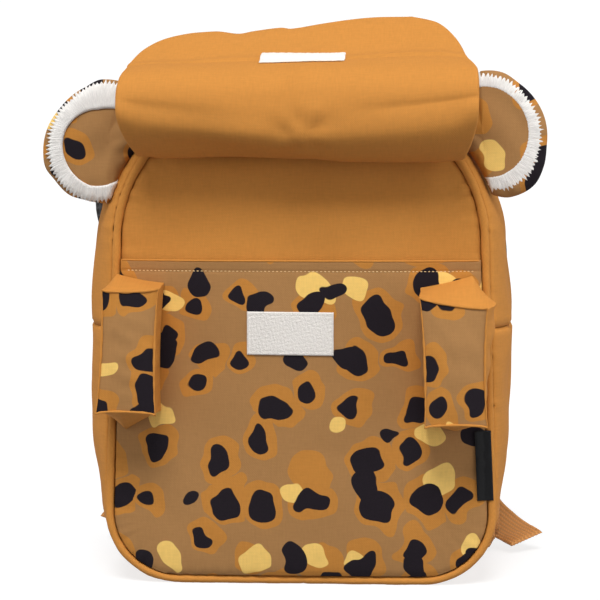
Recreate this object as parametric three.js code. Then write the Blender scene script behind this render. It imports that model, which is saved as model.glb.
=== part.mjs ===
import * as THREE from "three";

// A small child's backpack with round ears and stuffed paws, standing on its flat bottom.
// X runs to the right of the bag as it is seen from the front, Y runs from the front to the
// back that lies against the wearer, and Z runs up from the floor. Sizes are in millimetres.

// The body
const panelWidth = 222; // across the front, over the piping, at half its height
const footFlare = 18; // how much wider the front is at the floor than at the top
const bodyHeight = 283;
const bodyDepth = 105; // from the seam of the front to the seam of the back
const footRadius = 43; // lower corners of the front and the back
const shoulderRadius = 80; // upper corners
const crossSeamHeight = 150; // where the lower and the upper strip of the side wall meet
const sideSwell = 15; // how far the side wall stands out past the piping
const frontCrown = 9; // how far the middle of the front stands out
const backCrown = 4;
const clothWall = 1.6;
const backPadding = 9;
const pipingDiameter = 4.8;
const mouthShare = 5 / 8; // how far up the shoulder the side wall runs before the mouth

// Clearances
const seamGap = 0.3; // between pieces that are sewn edge to edge
const clothGap = 0.5; // between layers that lie on each other
const trimGap = 0.8; // between an ear and its trim
const liningGap = 0.9; // between the pad of a strap and its lining, which bend together

// The pocket and what is sewn on it
const pocketHeight = 190;
const pocketSlack = 1.2; // how far the empty pocket stands off the front in its middle
const patchWidth = 50;
const patchHeight = 25;
const patchThickness = 1;
const patchCentreX = -5;
const patchCentreZ = 148;
const pawWidth = 34.5;
const pawHeight = 69; // of its front face
const pawReach = 31;
const pawPeak = 10; // how far its seam on the pocket runs up past the front face
const pawFoot = 9; // and down past it
const pawLeftInset = 15.5; // from the side of the front to the middle of the paw
const pawRightInset = 22;
const pawLeftZ = 139;
const pawRightZ = 132.5;
const tagWidth = 9.5;
const tagHeight = 41;
const tagThickness = 0.9;
const tagCentreZ = 71;

// The lid, sewn to the top of the back, drawn over the mouth and folded back up on itself
const lidWidth = 204;
const lidPadding = 5;
const lidReach = 39; // how far its fold stands out in front of the front seam
const lidRise = 42; // how far its free edge stands above the mouth
const lidDrop = 33; // how far its fold hangs below the mouth
const lidDip = 10; // how far the fold sags between its two ends
const lidTilt = 5.5; // how much higher the free edge stands at its right end, and lower at its left
const lidRootShare = 0.54; // how far down the shoulders its seam runs, as a share from their top
const lidHemShare = 1 / 6; // of its half width, over which the padding thins out to each side
const stripWidth = 49;
const stripLength = 24;
const stripThickness = 1;
const stripCentreX = 1.5;

// The ears
const earRadius = 36.5;
const earThickness = 14;
const earLeftX = 115;
const earLeftZ = 258;
const earRightX = 105.5;
const earRightZ = 261;
const trimWidth = 9.5;
const trimInset = 3; // from the edge of the ear to the tips of the teeth
const trimTooth = 2;
const trimThickness = 1.2;
const trimTeeth = 20;

// The shoulder straps
const strapWidth = 50;
const strapPadding = 6.5;
const liningThickness = 1.3;
const strapReach = 52; // how far the straps stand out behind the back
const strapSplayLeft = 1.0;
const strapSplayRight = 0.9;
const strapShiftLeft = 0.14; // how far the strap is pushed outwards, as a share of half the width
const strapShiftRight = 0;
const webbingWidth = 25;
const webbingThickness = 1.5;
const tabThickness = 1.5; // of the folded tab that holds the buckle on the strap
const tabHold = 13; // how far the tab lies on the strap
const buckleThickness = 3.2;
const buckleBar = 3; // width of each of its three cross bars
const buckleSide = 3.4; // width of its two side bars
const buckleNeck = 5; // from the end of the strap to the buckle
const upperSlot = 7.6;
const lowerSlot = 5;
const anchorWidth = 38;
const anchorLength = 20;
const anchorThickness = 2.4;

const halfWidth = panelWidth / 2;
const halfDepth = bodyDepth / 2;
const pipingRadius = pipingDiameter / 2;
const panelInset = pipingDiameter + seamGap;

const clothColour = 0xb57a35;
const printColour = 0x86683f;
const blackColour = 0x26262b;
const whiteColour = 0xe9e4dc;

// Tables and steps

function spread(from, to, count) {
  return Array.from({ length: count + 1 }, (_, step) => from + ((to - from) * step) / count);
}

// The value at one place of a table whose rows are [place, value].
function look(table, place) {
  const last = table.length - 1;
  if (place <= table[0][0]) {
    return table[0][1];
  }
  for (let row = 1; row <= last; row += 1) {
    if (place <= table[row][0]) {
      const share = (place - table[row - 1][0]) / (table[row][0] - table[row - 1][0]);
      return THREE.MathUtils.lerp(table[row - 1][1], table[row][1], share);
    }
  }
  return table[last][1];
}

// Closed bodies

// A body from its corners and triangles, turned so that its faces point out.
function closedBody(corners, triangles) {
  let volume = 0;
  for (const [a, b, c] of triangles) {
    volume += corners[a].dot(new THREE.Vector3().crossVectors(corners[b], corners[c]));
  }
  const index = triangles.flatMap(([a, b, c]) => (volume < 0 ? [a, c, b] : [a, b, c]));
  const geometry = new THREE.BufferGeometry().setFromPoints(corners);
  geometry.setIndex(index);
  geometry.computeVertexNormals();
  return geometry;
}

// The directions that a grid of points faces.
function gridNormals(grid) {
  const lastRow = grid.length - 1;
  const lastColumn = grid[0].length - 1;
  return grid.map((line, row) =>
    line.map((_, column) => {
      const along = new THREE.Vector3().subVectors(
        line[Math.min(column + 1, lastColumn)],
        line[Math.max(column - 1, 0)],
      );
      const up = new THREE.Vector3().subVectors(
        grid[Math.min(row + 1, lastRow)][column],
        grid[Math.max(row - 1, 0)][column],
      );
      return along.cross(up).normalize();
    }),
  );
}

// A sheet of cloth over a grid of places. pointAt gives a point on its guide surface, thicknessAt
// how thick it is there, and lift how far its middle lies off the guide surface.
function sheet(columns, rows, pointAt, thicknessAt, lift = 0) {
  const grid = rows.map((row) => columns.map((column) => pointAt(column, row)));
  const normals = gridNormals(grid);
  const corners = [];
  for (const side of [0.5, -0.5]) {
    grid.forEach((line, row) => {
      line.forEach((point, column) => {
        const off = lift + side * thicknessAt(columns[column], rows[row]);
        corners.push(point.clone().addScaledVector(normals[row][column], off));
      });
    });
  }
  const across = columns.length;
  const half = across * rows.length;
  const triangles = [];
  for (let row = 0; row < rows.length - 1; row += 1) {
    for (let column = 0; column < across - 1; column += 1) {
      const a = row * across + column;
      const b = a + 1;
      const c = b + across;
      const d = a + across;
      triangles.push([a, b, c], [a, c, d]);
      triangles.push([half + a, half + c, half + b], [half + a, half + d, half + c]);
    }
  }
  const rim = [];
  for (let column = 0; column < across - 1; column += 1) {
    rim.push(column);
  }
  for (let row = 0; row < rows.length - 1; row += 1) {
    rim.push(row * across + across - 1);
  }
  for (let column = across - 1; column > 0; column -= 1) {
    rim.push((rows.length - 1) * across + column);
  }
  for (let row = rows.length - 1; row > 0; row -= 1) {
    rim.push(row * across);
  }
  rim.forEach((a, place) => {
    const b = rim[(place + 1) % rim.length];
    triangles.push([a, half + a, half + b], [a, half + b, b]);
  });
  return closedBody(corners, triangles);
}

// A body through rings of points, closed into a loop or capped at both ends.
function loft(rings, isLoop) {
  const around = rings[0].length;
  const corners = rings.flat();
  const triangles = [];
  const spans = isLoop ? rings.length : rings.length - 1;
  for (let span = 0; span < spans; span += 1) {
    const here = span * around;
    const next = ((span + 1) % rings.length) * around;
    for (let step = 0; step < around; step += 1) {
      const after = (step + 1) % around;
      triangles.push([here + step, here + after, next + after]);
      triangles.push([here + step, next + after, next + step]);
    }
  }
  if (!isLoop) {
    const lastRing = (rings.length - 1) * around;
    for (let step = 1; step < around - 1; step += 1) {
      triangles.push([0, step + 1, step]);
      triangles.push([lastRing, lastRing + step, lastRing + step + 1]);
    }
  }
  return closedBody(corners, triangles);
}

// A long strip of one width along a route. Each stop of the route is [place, direction across].
function ribbon(route, { width, thickness, steps, lift = 0, endShare = 1, sides = 2 }) {
  const curve = new THREE.CatmullRomCurve3(route.map(([place]) => place), false, "centripetal");
  const lastStop = route.length - 1;
  const pointAt = (side, along) => {
    const stop = Math.min(Math.floor(along * lastStop), lastStop - 1);
    const share = along * lastStop - stop;
    const across = route[stop][1].clone().lerp(route[stop + 1][1], share);
    const heading = curve.getTangent(along);
    across.addScaledVector(heading, -across.dot(heading)).normalize();
    const narrow = THREE.MathUtils.lerp(1, endShare, THREE.MathUtils.smoothstep(along, 0.8, 1));
    return curve.getPoint(along).addScaledVector(across, (side * width * narrow) / 2);
  };
  return sheet(spread(-1, 1, sides), spread(0, 1, steps), pointAt, () => thickness, lift);
}

const model = new THREE.Group();

function addPiece(name, geometry, colour, roughness = 0.85) {
  const material = new THREE.MeshStandardMaterial({ color: colour, roughness, metalness: 0 });
  const piece = new THREE.Mesh(geometry, material);
  piece.name = name;
  model.add(piece);
}

// The rim, which is the outline of the front and the back

const footArc = (Math.PI / 2) * footRadius;
const shoulderArc = (Math.PI / 2) * shoulderRadius;
const flatHalf = halfWidth - footRadius;
const sideRun = bodyHeight - footRadius - shoulderRadius;
const topHalf = halfWidth - shoulderRadius;

// How much wider or narrower the bag is at a height than at half its height.
function flareAt(z) {
  return 1 + (footFlare / panelWidth) * (0.5 - z / bodyHeight);
}
const footEnd = flatHalf + footArc;
const seamAlong = footEnd + crossSeamHeight - footRadius;
const sideEnd = footEnd + sideRun;
const shoulderEnd = sideEnd + shoulderArc;
const mouthAlong = sideEnd + shoulderArc * mouthShare;

// The point of the rim at a distance from the middle of the bottom, positive to the right.
function rimAt(along) {
  const hand = along < 0 ? -1 : 1;
  const run = Math.abs(along);
  const rim = { x: 0, z: 0, outX: 0, outZ: 0 };
  if (run <= flatHalf) {
    rim.x = run;
    rim.outZ = -1;
  } else if (run <= footEnd) {
    const turn = (run - flatHalf) / footRadius;
    rim.outX = Math.sin(turn);
    rim.outZ = -Math.cos(turn);
    rim.x = flatHalf + footRadius * rim.outX;
    rim.z = footRadius + footRadius * rim.outZ;
  } else if (run <= sideEnd) {
    rim.outX = 1;
    rim.x = halfWidth;
    rim.z = footRadius + run - footEnd;
  } else if (run <= shoulderEnd) {
    const turn = (run - sideEnd) / shoulderRadius;
    rim.outX = Math.cos(turn);
    rim.outZ = Math.sin(turn);
    rim.x = topHalf + shoulderRadius * rim.outX;
    rim.z = bodyHeight - shoulderRadius + shoulderRadius * rim.outZ;
  } else {
    rim.outZ = 1;
    rim.x = topHalf - (run - shoulderEnd);
    rim.z = bodyHeight;
  }
  rim.x *= hand * flareAt(rim.z);
  rim.outX *= hand;
  return rim;
}

const footSteps = 7;
const shoulderSteps = 8;
const lowerStops = [
  ...spread(0, flatHalf, 3).slice(0, -1),
  ...spread(flatHalf, footEnd, footSteps).slice(0, -1),
  ...spread(footEnd, seamAlong, 4),
];
const upperStops = [
  ...spread(seamAlong, sideEnd, 3).slice(0, -1),
  ...spread(sideEnd, shoulderEnd, shoulderSteps),
];
const topStops = spread(shoulderEnd, shoulderEnd + topHalf, 2).slice(1);
const rightStops = [...lowerStops, ...upperStops.slice(1), ...topStops];
const leftStops = rightStops.slice(1, -1).reverse().map((stop) => -stop);

// The piping, a cord that follows the whole rim at the front and at the back
function pipingGeometry(seamY) {
  const sides = 6;
  const rings = [...rightStops, ...leftStops].map((stop) => {
    const rim = rimAt(stop);
    return spread(0, 2 * Math.PI, sides).slice(1).map((turn) => {
      const off = pipingRadius * (Math.cos(turn) - 1);
      const y = seamY + pipingRadius * Math.sin(turn);
      return new THREE.Vector3(rim.x + rim.outX * off, y, rim.z + rim.outZ * off);
    });
  });
  return loft(rings, true);
}
addPiece("front_piping", pipingGeometry(-halfDepth), clothColour);
addPiece("back_piping", pipingGeometry(halfDepth), clothColour);

// The side wall, a strip that runs round the rim and swells between the two seams

const swellByHeight = [
  [0, 0],
  [0.06, 0.02],
  [0.15, 0.3],
  [0.3, 0.75],
  [0.5, 1],
  [0.7, 0.95],
  [0.85, 0.75],
  [1, 0.5],
];
const swellByDepth = [
  [0, 0],
  [0.12, 0.5],
  [0.28, 0.86],
  [0.5, 1],
  [0.72, 0.86],
  [0.88, 0.5],
  [1, 0],
];
const wallFront = -halfDepth + pipingRadius + seamGap;

function swellAt(z, y) {
  const depthShare = (y + halfDepth) / bodyDepth;
  return sideSwell * look(swellByHeight, z / bodyHeight) * look(swellByDepth, depthShare);
}

function sideWallGeometry(stops) {
  const depths = [0, 0.1, 0.26, 0.5, 0.74, 0.9, 1].map((share) =>
    THREE.MathUtils.lerp(wallFront, -wallFront, share),
  );
  const pointAt = (stop, y) => {
    const rim = rimAt(stop);
    const off = swellAt(rim.z, y) - clothWall / 2;
    return new THREE.Vector3(rim.x + rim.outX * off, y, rim.z + rim.outZ * off);
  };
  return sheet(stops, depths, pointAt, () => clothWall);
}

const lowerRun = lowerStops.slice(0, -1).concat(seamAlong - seamGap / 2);
const lowerLeft = lowerRun.slice(1).reverse().map((stop) => -stop);
addPiece("gusset_lower", sideWallGeometry([...lowerLeft, ...lowerRun]), clothColour);
const wallEnd = upperStops.filter((stop) => stop < mouthAlong - 1e-6).concat(mouthAlong);
const upperRun = [seamAlong + seamGap / 2, ...wallEnd.slice(1)];
addPiece("gusset_upper_right", sideWallGeometry(upperRun), clothColour);
const upperLeft = upperRun.map((stop) => -stop).reverse();
addPiece("gusset_upper_left", sideWallGeometry(upperLeft), clothColour);

// The front, the pocket on it and the padded back share one crowned surface inside the rim

const crownByHeight = [
  [0, 0],
  [0.05, 0.3],
  [0.12, 0.55],
  [0.25, 0.82],
  [0.42, 1],
  [0.62, 0.95],
  [0.78, 0.68],
  [0.9, 0.32],
  [1, 0],
];

// Half the width inside the rim at a height.
function halfWidthAt(z) {
  const shoulderBase = bodyHeight - shoulderRadius;
  let half = halfWidth - panelInset;
  if (z < footRadius) {
    const radius = footRadius - panelInset;
    half = flatHalf + Math.sqrt(Math.max(0, radius ** 2 - (footRadius - z) ** 2));
  } else if (z > shoulderBase) {
    const radius = shoulderRadius - panelInset;
    half = topHalf + Math.sqrt(Math.max(0, radius ** 2 - (z - shoulderBase) ** 2));
  }
  return half * flareAt(z);
}

function crownShare(x, z) {
  const sideShare = Math.min(1, Math.abs(x) / halfWidthAt(z));
  return (1 - sideShare ** 2.6) * look(crownByHeight, z / bodyHeight);
}

// How far out the middle of the front cloth lies at a place.
function frontY(x, z) {
  return -halfDepth - frontCrown * crownShare(x, z);
}

const pocketOff = clothWall + clothGap;

function pocketY(x, z) {
  return frontY(x, z) - pocketOff - pocketSlack * crownShare(x, z);
}

const footRows = spread(0, Math.PI / 2, footSteps).map(
  (turn) => footRadius - (footRadius - panelInset) * Math.cos(turn),
);
const shoulderBase = bodyHeight - shoulderRadius;
const shoulderRows = spread(0, Math.PI / 2, shoulderSteps).map(
  (turn) => shoulderBase + (shoulderRadius - panelInset) * Math.sin(turn),
);
const panelRows = [...footRows, ...spread(footRadius, shoulderBase, 6).slice(1, -1), ...shoulderRows];
const pocketRows = [...footRows, ...spread(footRadius, pocketHeight, 6).slice(1)];
const panelColumns = [-1, -0.9, -0.75, -0.5, -0.25, 0, 0.25, 0.5, 0.75, 0.9, 1];

function frontPointAt(side, z) {
  const x = side * halfWidthAt(z);
  return new THREE.Vector3(x, frontY(x, z), z);
}
addPiece("front_panel", sheet(panelColumns, panelRows, frontPointAt, () => clothWall), clothColour);

function pocketPointAt(side, z) {
  const x = side * halfWidthAt(z);
  return new THREE.Vector3(x, pocketY(x, z), z);
}
addPiece("front_pocket", sheet(panelColumns, pocketRows, pocketPointAt, () => clothWall), printColour);

// The back is a pad whose two faces draw together at its edge.
function backThickness(x, z) {
  return clothWall + (backPadding - clothWall) * Math.min(1, 2.2 * crownShare(x, z));
}

function backFaceY(x, z) {
  return halfDepth + backCrown * crownShare(x, z) + backThickness(x, z) / 2;
}
const backGeometry = sheet(
  panelColumns,
  panelRows,
  (side, z) => {
    const x = side * halfWidthAt(z);
    return new THREE.Vector3(x, halfDepth + backCrown * crownShare(x, z), z);
  },
  (side, z) => backThickness(side * halfWidthAt(z), z),
);
addPiece("back_panel", backGeometry, clothColour);

// The loop patch lies on the pocket
const patchLift = clothWall / 2 + clothGap + patchThickness / 2;
const patchGeometry = sheet(
  spread(-patchWidth / 2, patchWidth / 2, 6),
  spread(-patchHeight / 2, patchHeight / 2, 3),
  (across, up) => {
    const x = patchCentreX + across;
    const z = patchCentreZ + up;
    return new THREE.Vector3(x, pocketY(x, z), z);
  },
  () => patchThickness,
  patchLift,
);
addPiece("loop_patch", patchGeometry, whiteColour);

// The paws are stuffed blocks whose seam on the pocket is longer than their front face. In each
// section high is a share of the height, deep and wide shares of the reach and the width, and
// foot and peak shares of how far the seam runs past the front face there.
const pawSections = [
  { high: -0.515, deep: 0.1, wide: 0.9, foot: 1, peak: 0 },
  { high: -0.51, deep: 0.5, wide: 0.95, foot: 0.98, peak: 0 },
  { high: -0.5, deep: 0.94, wide: 0.99, foot: 0.95, peak: 0 },
  { high: -0.46, deep: 1, wide: 1, foot: 0.88, peak: 0 },
  { high: -0.22, deep: 1, wide: 0.98, foot: 0.4, peak: 0 },
  { high: 0, deep: 1, wide: 0.96, foot: 0, peak: 0 },
  { high: 0.22, deep: 1, wide: 0.98, foot: 0, peak: 0.4 },
  { high: 0.46, deep: 1, wide: 1, foot: 0, peak: 0.88 },
  { high: 0.5, deep: 0.94, wide: 0.99, foot: 0, peak: 0.95 },
  { high: 0.51, deep: 0.5, wide: 0.95, foot: 0, peak: 0.98 },
  { high: 0.515, deep: 0.1, wide: 0.9, foot: 0, peak: 1 },
];
// The seam runs furthest down in its middle, and furthest up near its outer end.
const footByAcross = [
  [-1, 0],
  [0, 1],
  [1, 0],
];
const peakByAcross = [
  [-1, 0.05],
  [0.7, 1],
  [1, 0.6],
];
// The outline of a section is [across, out], from the seat on the pocket round the front.
const pawOutline = [
  [-1, 0],
  [-1.03, 0.5],
  [-1, 0.93],
  [-0.92, 1],
  [0, 1.04],
  [0.92, 1],
  [1, 0.93],
  [1.03, 0.5],
  [1, 0],
  [0.35, 0],
  [-0.35, 0],
];

function pawGeometry(hand, inset, centreZ) {
  const seat = clothWall / 2 + clothGap;
  const rings = pawSections.map(({ high, deep, wide, foot, peak }) =>
    pawOutline.map(([across, out]) => {
      const outer = halfWidth - inset + (across * wide * pawWidth) / 2;
      const down = foot * pawFoot * look(footByAcross, across);
      const up = peak * pawPeak * look(peakByAcross, across);
      const seatZ = centreZ + high * pawHeight + up - down;
      const z = seatZ - (up - down) * Math.min(1, out * deep);
      const y = pocketY(Math.min(outer, halfWidth), seatZ) - seat - out * deep * pawReach;
      return new THREE.Vector3(hand * outer, y, z);
    }),
  );
  return loft(rings, false);
}
addPiece("paw_left", pawGeometry(-1, pawLeftInset, pawLeftZ), printColour);
addPiece("paw_right", pawGeometry(1, pawRightInset, pawRightZ), printColour);

// The blank tag hangs from the right seam, over the piping
const tagY = -halfDepth - pipingRadius - seamGap - tagThickness / 2;
const tagGeometry = sheet(
  spread(-tagWidth, 0, 2),
  spread(-tagHeight / 2, tagHeight / 2, 4),
  (across, up) => {
    const x = halfWidth - seamGap + across;
    const z = tagCentreZ + up;
    const clear = pocketY(Math.min(x, halfWidth - panelInset), z) - clothWall / 2 - clothGap;
    return new THREE.Vector3(x, Math.min(tagY, clear - tagThickness / 2), z);
  },
  () => tagThickness,
);
addPiece("side_tag", tagGeometry, blackColour);

// The lid. Each row is one section from its seam on the back to its free edge:
// over is a share of half the depth, forward negative, ahead a share of the reach,
// rise and drop shares of the rise and the drop, wide a share of half the width,
// dip a share of the sag in the middle, tilt a share of the tilt, and hug how closely it follows
// the shoulders of the bag.
const lidSections = [
  { over: 1, ahead: 0, rise: 0, drop: 0, wide: 0.4, dip: 0, tilt: 0, hug: 1 },
  { over: 0.84, ahead: 0, rise: 0.03, drop: 0, wide: 0.6, dip: 0, tilt: 0, hug: 0.98 },
  { over: 0.6, ahead: 0, rise: 0.06, drop: 0, wide: 0.75, dip: 0, tilt: 0, hug: 0.88 },
  { over: 0.15, ahead: 0, rise: 0.12, drop: 0, wide: 0.88, dip: 0.1, tilt: 0, hug: 0.5 },
  { over: -0.4, ahead: 0, rise: 0.11, drop: 0, wide: 0.93, dip: 0, tilt: 0, hug: 0.15 },
  { over: -0.85, ahead: 0, rise: 0.07, drop: 0, wide: 0.93, dip: 0, tilt: 0, hug: 0 },
  { over: -1, ahead: 0.06, rise: 0.03, drop: 0, wide: 0.93, dip: 0, tilt: 0, hug: 0 },
  { over: -1, ahead: 0.21, rise: 0, drop: 0.14, wide: 0.93, dip: 0, tilt: 0, hug: 0 },
  { over: -1, ahead: 0.24, rise: 0, drop: 0.55, wide: 0.925, dip: 0, tilt: 0, hug: 0 },
  { over: -1, ahead: 0.27, rise: 0, drop: 0.9, wide: 0.92, dip: 0, tilt: 0.1, hug: 0 },
  { over: -1, ahead: 0.37, rise: 0, drop: 1.07, wide: 0.92, dip: 0, tilt: 0.2, hug: 0 },
  { over: -1, ahead: 0.52, rise: 0, drop: 1.02, wide: 0.93, dip: 0.1, tilt: 0.2, hug: 0 },
  { over: -1, ahead: 0.78, rise: 0, drop: 0.76, wide: 0.965, dip: 0.5, tilt: 0, hug: 0 },
  { over: -1, ahead: 0.97, rise: 0, drop: 0.36, wide: 0.995, dip: 1, tilt: 0, hug: 0 },
  { over: -1, ahead: 1, rise: 0, drop: 0.08, wide: 1, dip: 0.7, tilt: 0.1, hug: 0 },
  { over: -1, ahead: 0.92, rise: 0.1, drop: 0, wide: 1, dip: 0.3, tilt: 0.2, hug: 0 },
  { over: -1, ahead: 0.66, rise: 0.27, drop: 0, wide: 1, dip: 0.1, tilt: 0.3, hug: 0 },
  { over: -1, ahead: 0.34, rise: 0.35, drop: 0, wide: 0.995, dip: 0, tilt: 0.35, hug: 0 },
  { over: -1, ahead: 0, rise: 0.42, drop: 0, wide: 0.985, dip: 0, tilt: 0.45, hug: 0 },
  { over: -0.76, ahead: 0, rise: 0.49, drop: 0, wide: 0.96, dip: 0, tilt: 0.6, hug: 0 },
  { over: -0.46, ahead: 0, rise: 0.69, drop: 0, wide: 0.89, dip: 0, tilt: 0.8, hug: 0 },
  { over: -0.22, ahead: 0, rise: 0.88, drop: 0, wide: 0.77, dip: 0, tilt: 1, hug: 0 },
  { over: -0.1, ahead: 0, rise: 0.96, drop: 0, wide: 0.62, dip: 0, tilt: 1, hug: 0 },
];
const lidBase = bodyHeight + seamGap + lidPadding / 2;

function lidSection(row) {
  const lower = lidSections[Math.floor(row)];
  const upper = lidSections[Math.min(Math.floor(row) + 1, lidSections.length - 1)];
  const share = row - Math.floor(row);
  const at = (column) => THREE.MathUtils.lerp(lower[column], upper[column], share);
  return {
    y: at("over") * halfDepth - at("ahead") * lidReach,
    z: lidBase + at("rise") * lidRise - at("drop") * lidDrop,
    half: (at("wide") * lidWidth) / 2,
    dip: at("dip") * lidDip,
    tilt: at("tilt") * lidTilt,
    hug: at("hug"),
  };
}

// Where the lid lies on the bag when it follows the rim.
const lidRootRun = topHalf + shoulderArc * lidRootShare;

function lidOnRim(side, y) {
  const rim = rimAt(shoulderEnd + topHalf - Math.abs(side) * lidRootRun);
  const off = swellAt(rim.z, y) + 2 * clothGap + lidPadding / 2;
  const hand = side < 0 ? -1 : 1;
  return new THREE.Vector3(hand * (rim.x + rim.outX * off), y, rim.z + rim.outZ * off);
}

function lidPointAt(side, row) {
  const section = lidSection(row);
  const sag = section.dip * (1 - side * side);
  const z = section.z - sag + section.tilt * side;
  const place = new THREE.Vector3(side * section.half, section.y, z);
  return place.lerp(lidOnRim(side, section.y), section.hug);
}

function lidThickness(side, row) {
  const fromEdge = Math.min(1, (1 - Math.abs(side)) / lidHemShare);
  const fromEnd = Math.min(1, (lidSections.length - 1 - row) / 2);
  return lidPadding * (0.5 + 0.5 * Math.min(fromEdge, fromEnd));
}
const lidColumns = [-1, -0.94, -0.84, -0.7, -0.5, -0.3, -0.1, 0.1, 0.3, 0.5, 0.7, 0.84, 0.94, 1];
const lidRows = spread(0, lidSections.length - 1, lidSections.length - 1);
addPiece("lid_flap", sheet(lidColumns, lidRows, lidPointAt, lidThickness), clothColour);

// The hook strip lies on the upper face of the lid, across one of its sections
const stripRow = 18;
const stripFront = lidSection(stripRow - 1);
const stripMiddle = lidSection(stripRow);
const stripBack = lidSection(stripRow + 1);
const frontRun = Math.hypot(stripMiddle.y - stripFront.y, stripMiddle.z - stripFront.z);
const backRun = Math.hypot(stripBack.y - stripMiddle.y, stripBack.z - stripMiddle.z);
const stripGeometry = sheet(
  spread(-stripWidth / 2, stripWidth / 2, 4),
  [stripRow - stripLength / 2 / frontRun, stripRow, stripRow + stripLength / 2 / backRun],
  (across, row) => lidPointAt((stripCentreX + across) / lidSection(row).half, row),
  () => stripThickness,
  lidPadding / 2 + clothGap + stripThickness / 2,
);
addPiece("hook_strip", stripGeometry, whiteColour);

// The ears are padded discs, cut where they meet the side wall and where the lid lies over them

const earY = wallFront + earThickness / 2;
const earLidClear = lidWidth / 2 + clothGap;
const earLidHeight = bodyHeight - lidPadding;

// How far a point lies outside the rim, near a shoulder.
function outsideRim(x, z) {
  const centreZ = bodyHeight - shoulderRadius;
  if (z < centreZ) {
    return x - halfWidth;
  }
  return Math.hypot(x - topHalf, z - centreZ) - shoulderRadius;
}

const earProfile = [
  [0, 1],
  [0.35, 0.97],
  [0.65, 0.84],
  [0.85, 0.6],
  [0.96, 0.32],
  [1, 0.14],
];

function earHalfThickness(share) {
  return (earThickness / 2) * look(earProfile, share);
}

function earIsFree(x, z) {
  const clearOfLid = z < earLidHeight || x > earLidClear;
  const clearOfWall = swellAt(z, earY + earHalfThickness(1)) + clothGap;
  return clearOfLid && outsideRim(x / flareAt(z), z) > clearOfWall;
}

// How far an ear reaches from its centre in a direction, measured from straight out, upwards.
function earReach(ear, turn) {
  let inside = 0;
  let outside = earRadius;
  const free = (reach) =>
    earIsFree(ear.x + reach * Math.cos(turn), ear.z + reach * Math.sin(turn));
  if (free(outside)) {
    return outside;
  }
  for (let halving = 0; halving < 16; halving += 1) {
    const middle = (inside + outside) / 2;
    if (free(middle)) {
      inside = middle;
    } else {
      outside = middle;
    }
  }
  return inside;
}

function earGeometry(ear) {
  const turns = spread(0, 2 * Math.PI, 28).slice(1);
  const ringAt = (share, face) =>
    turns.map((turn) => {
      const reach = share * earReach(ear, turn);
      const x = ear.hand * (ear.x + reach * Math.cos(turn));
      const y = earY + face * earHalfThickness(share);
      return new THREE.Vector3(x, y, ear.z + reach * Math.sin(turn));
    });
  const shares = earProfile.map(([share]) => share).slice(1);
  const front = shares.map((share) => ringAt(share, -1));
  const back = shares.map((share) => ringAt(share, 1)).reverse();
  return loft([...front, ...back], false);
}

// The trim is a crescent on the front face of the ear, with teeth on its outer edge. Its rows are
// [share of its run from its lower end, width share].
const trimByRun = [
  [0, 0.55],
  [0.1, 0.9],
  [0.45, 1],
  [0.75, 1.1],
  [0.9, 1.5],
  [1, 1.2],
];

function trimGeometry(ear) {
  const first = THREE.MathUtils.degToRad(ear.trimFrom);
  const last = THREE.MathUtils.degToRad(ear.trimTo);
  const turns = spread(first, last, 2 * trimTeeth);
  const pointAt = (turn, inward) => {
    const run = (turn - first) / (last - first);
    const tooth = Math.round(run * 2 * trimTeeth) % 2;
    const width = trimWidth * look(trimByRun, run);
    const outer = earRadius - trimInset - tooth * trimTooth;
    const inner = earRadius - trimInset - width;
    const reach = earReach(ear, turn);
    const radius = Math.min(THREE.MathUtils.lerp(outer, inner, inward), reach);
    const y = earY - earHalfThickness(radius / reach);
    const x = ear.hand * (ear.x + radius * Math.cos(turn));
    return new THREE.Vector3(x, y, ear.z + radius * Math.sin(turn));
  };
  const lift = ear.hand * (trimGap + trimThickness / 2);
  return sheet(turns, [0, 0.5, 1], pointAt, () => trimThickness, lift);
}

// Each trim runs between two directions in degrees, measured from straight out, upwards.
const ears = [
  { name: "left", hand: -1, x: earLeftX, z: earLeftZ, trimFrom: -90, trimTo: 112 },
  { name: "right", hand: 1, x: earRightX, z: earRightZ, trimFrom: -76, trimTo: 93 },
];
for (const ear of ears) {
  addPiece(`ear_${ear.name}`, earGeometry(ear), printColour);
  addPiece(`ear_trim_${ear.name}`, trimGeometry(ear), whiteColour);
}

// The straps. Each row is one stop: out is a share of half the width, behind a share of the
// strap's reach, high a share of the body's height, shift how much of the strap's outward
// shift it takes, and across the direction across the right strap.
const strapStops = [
  { out: 0.34, behind: 0, high: 0.925, shift: 0.6, across: [1, 0, 0] },
  { out: 0.34, behind: 0.14, high: 0.925, shift: 0.6, across: [1, 0, 0] },
  { out: 0.4, behind: 0.46, high: 0.935, shift: 0.8, across: [1, 0, -0.1] },
  { out: 0.54, behind: 0.76, high: 0.912, shift: 0.9, across: [0.96, 0, -0.28] },
  { out: 0.74, behind: 0.94, high: 0.86, shift: 1, across: [0.86, 0, -0.5] },
  { out: 0.93, behind: 1, high: 0.78, shift: 0.9, across: [0.95, 0, -0.3] },
  { out: 1, behind: 0.96, high: 0.66, shift: -0.2, across: [1, 0, 0] },
  { out: 0.98, behind: 0.86, high: 0.54, shift: -0.1, across: [1, 0, 0.05] },
  { out: 0.93, behind: 0.72, high: 0.42, shift: 0, across: [1, 0, 0.05] },
];

// The free ends of the webbing, with the same columns.
const leftTail = [
  { out: 0.98, behind: 1.1, high: 0.17, across: [1, 0, 0] },
  { out: 1.03, behind: 0.85, high: 0.095, across: [0.9, 0.3, 0.3] },
  { out: 1.13, behind: 0.45, high: 0.045, across: [0.88, 0.35, 0.3] },
];
const rightTail = [
  { out: 0.97, behind: 1, high: 0.17, across: [1, 0.1, 0.2] },
  { out: 1.04, behind: 0.72, high: 0.092, across: [0.86, 0.3, 0.42] },
  { out: 1.13, behind: 0.38, high: 0.053, across: [0.86, 0.4, 0.3] },
  { out: 1.235, behind: 0.02, high: 0.03, across: [0.88, 0.42, 0.2] },
];

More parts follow.
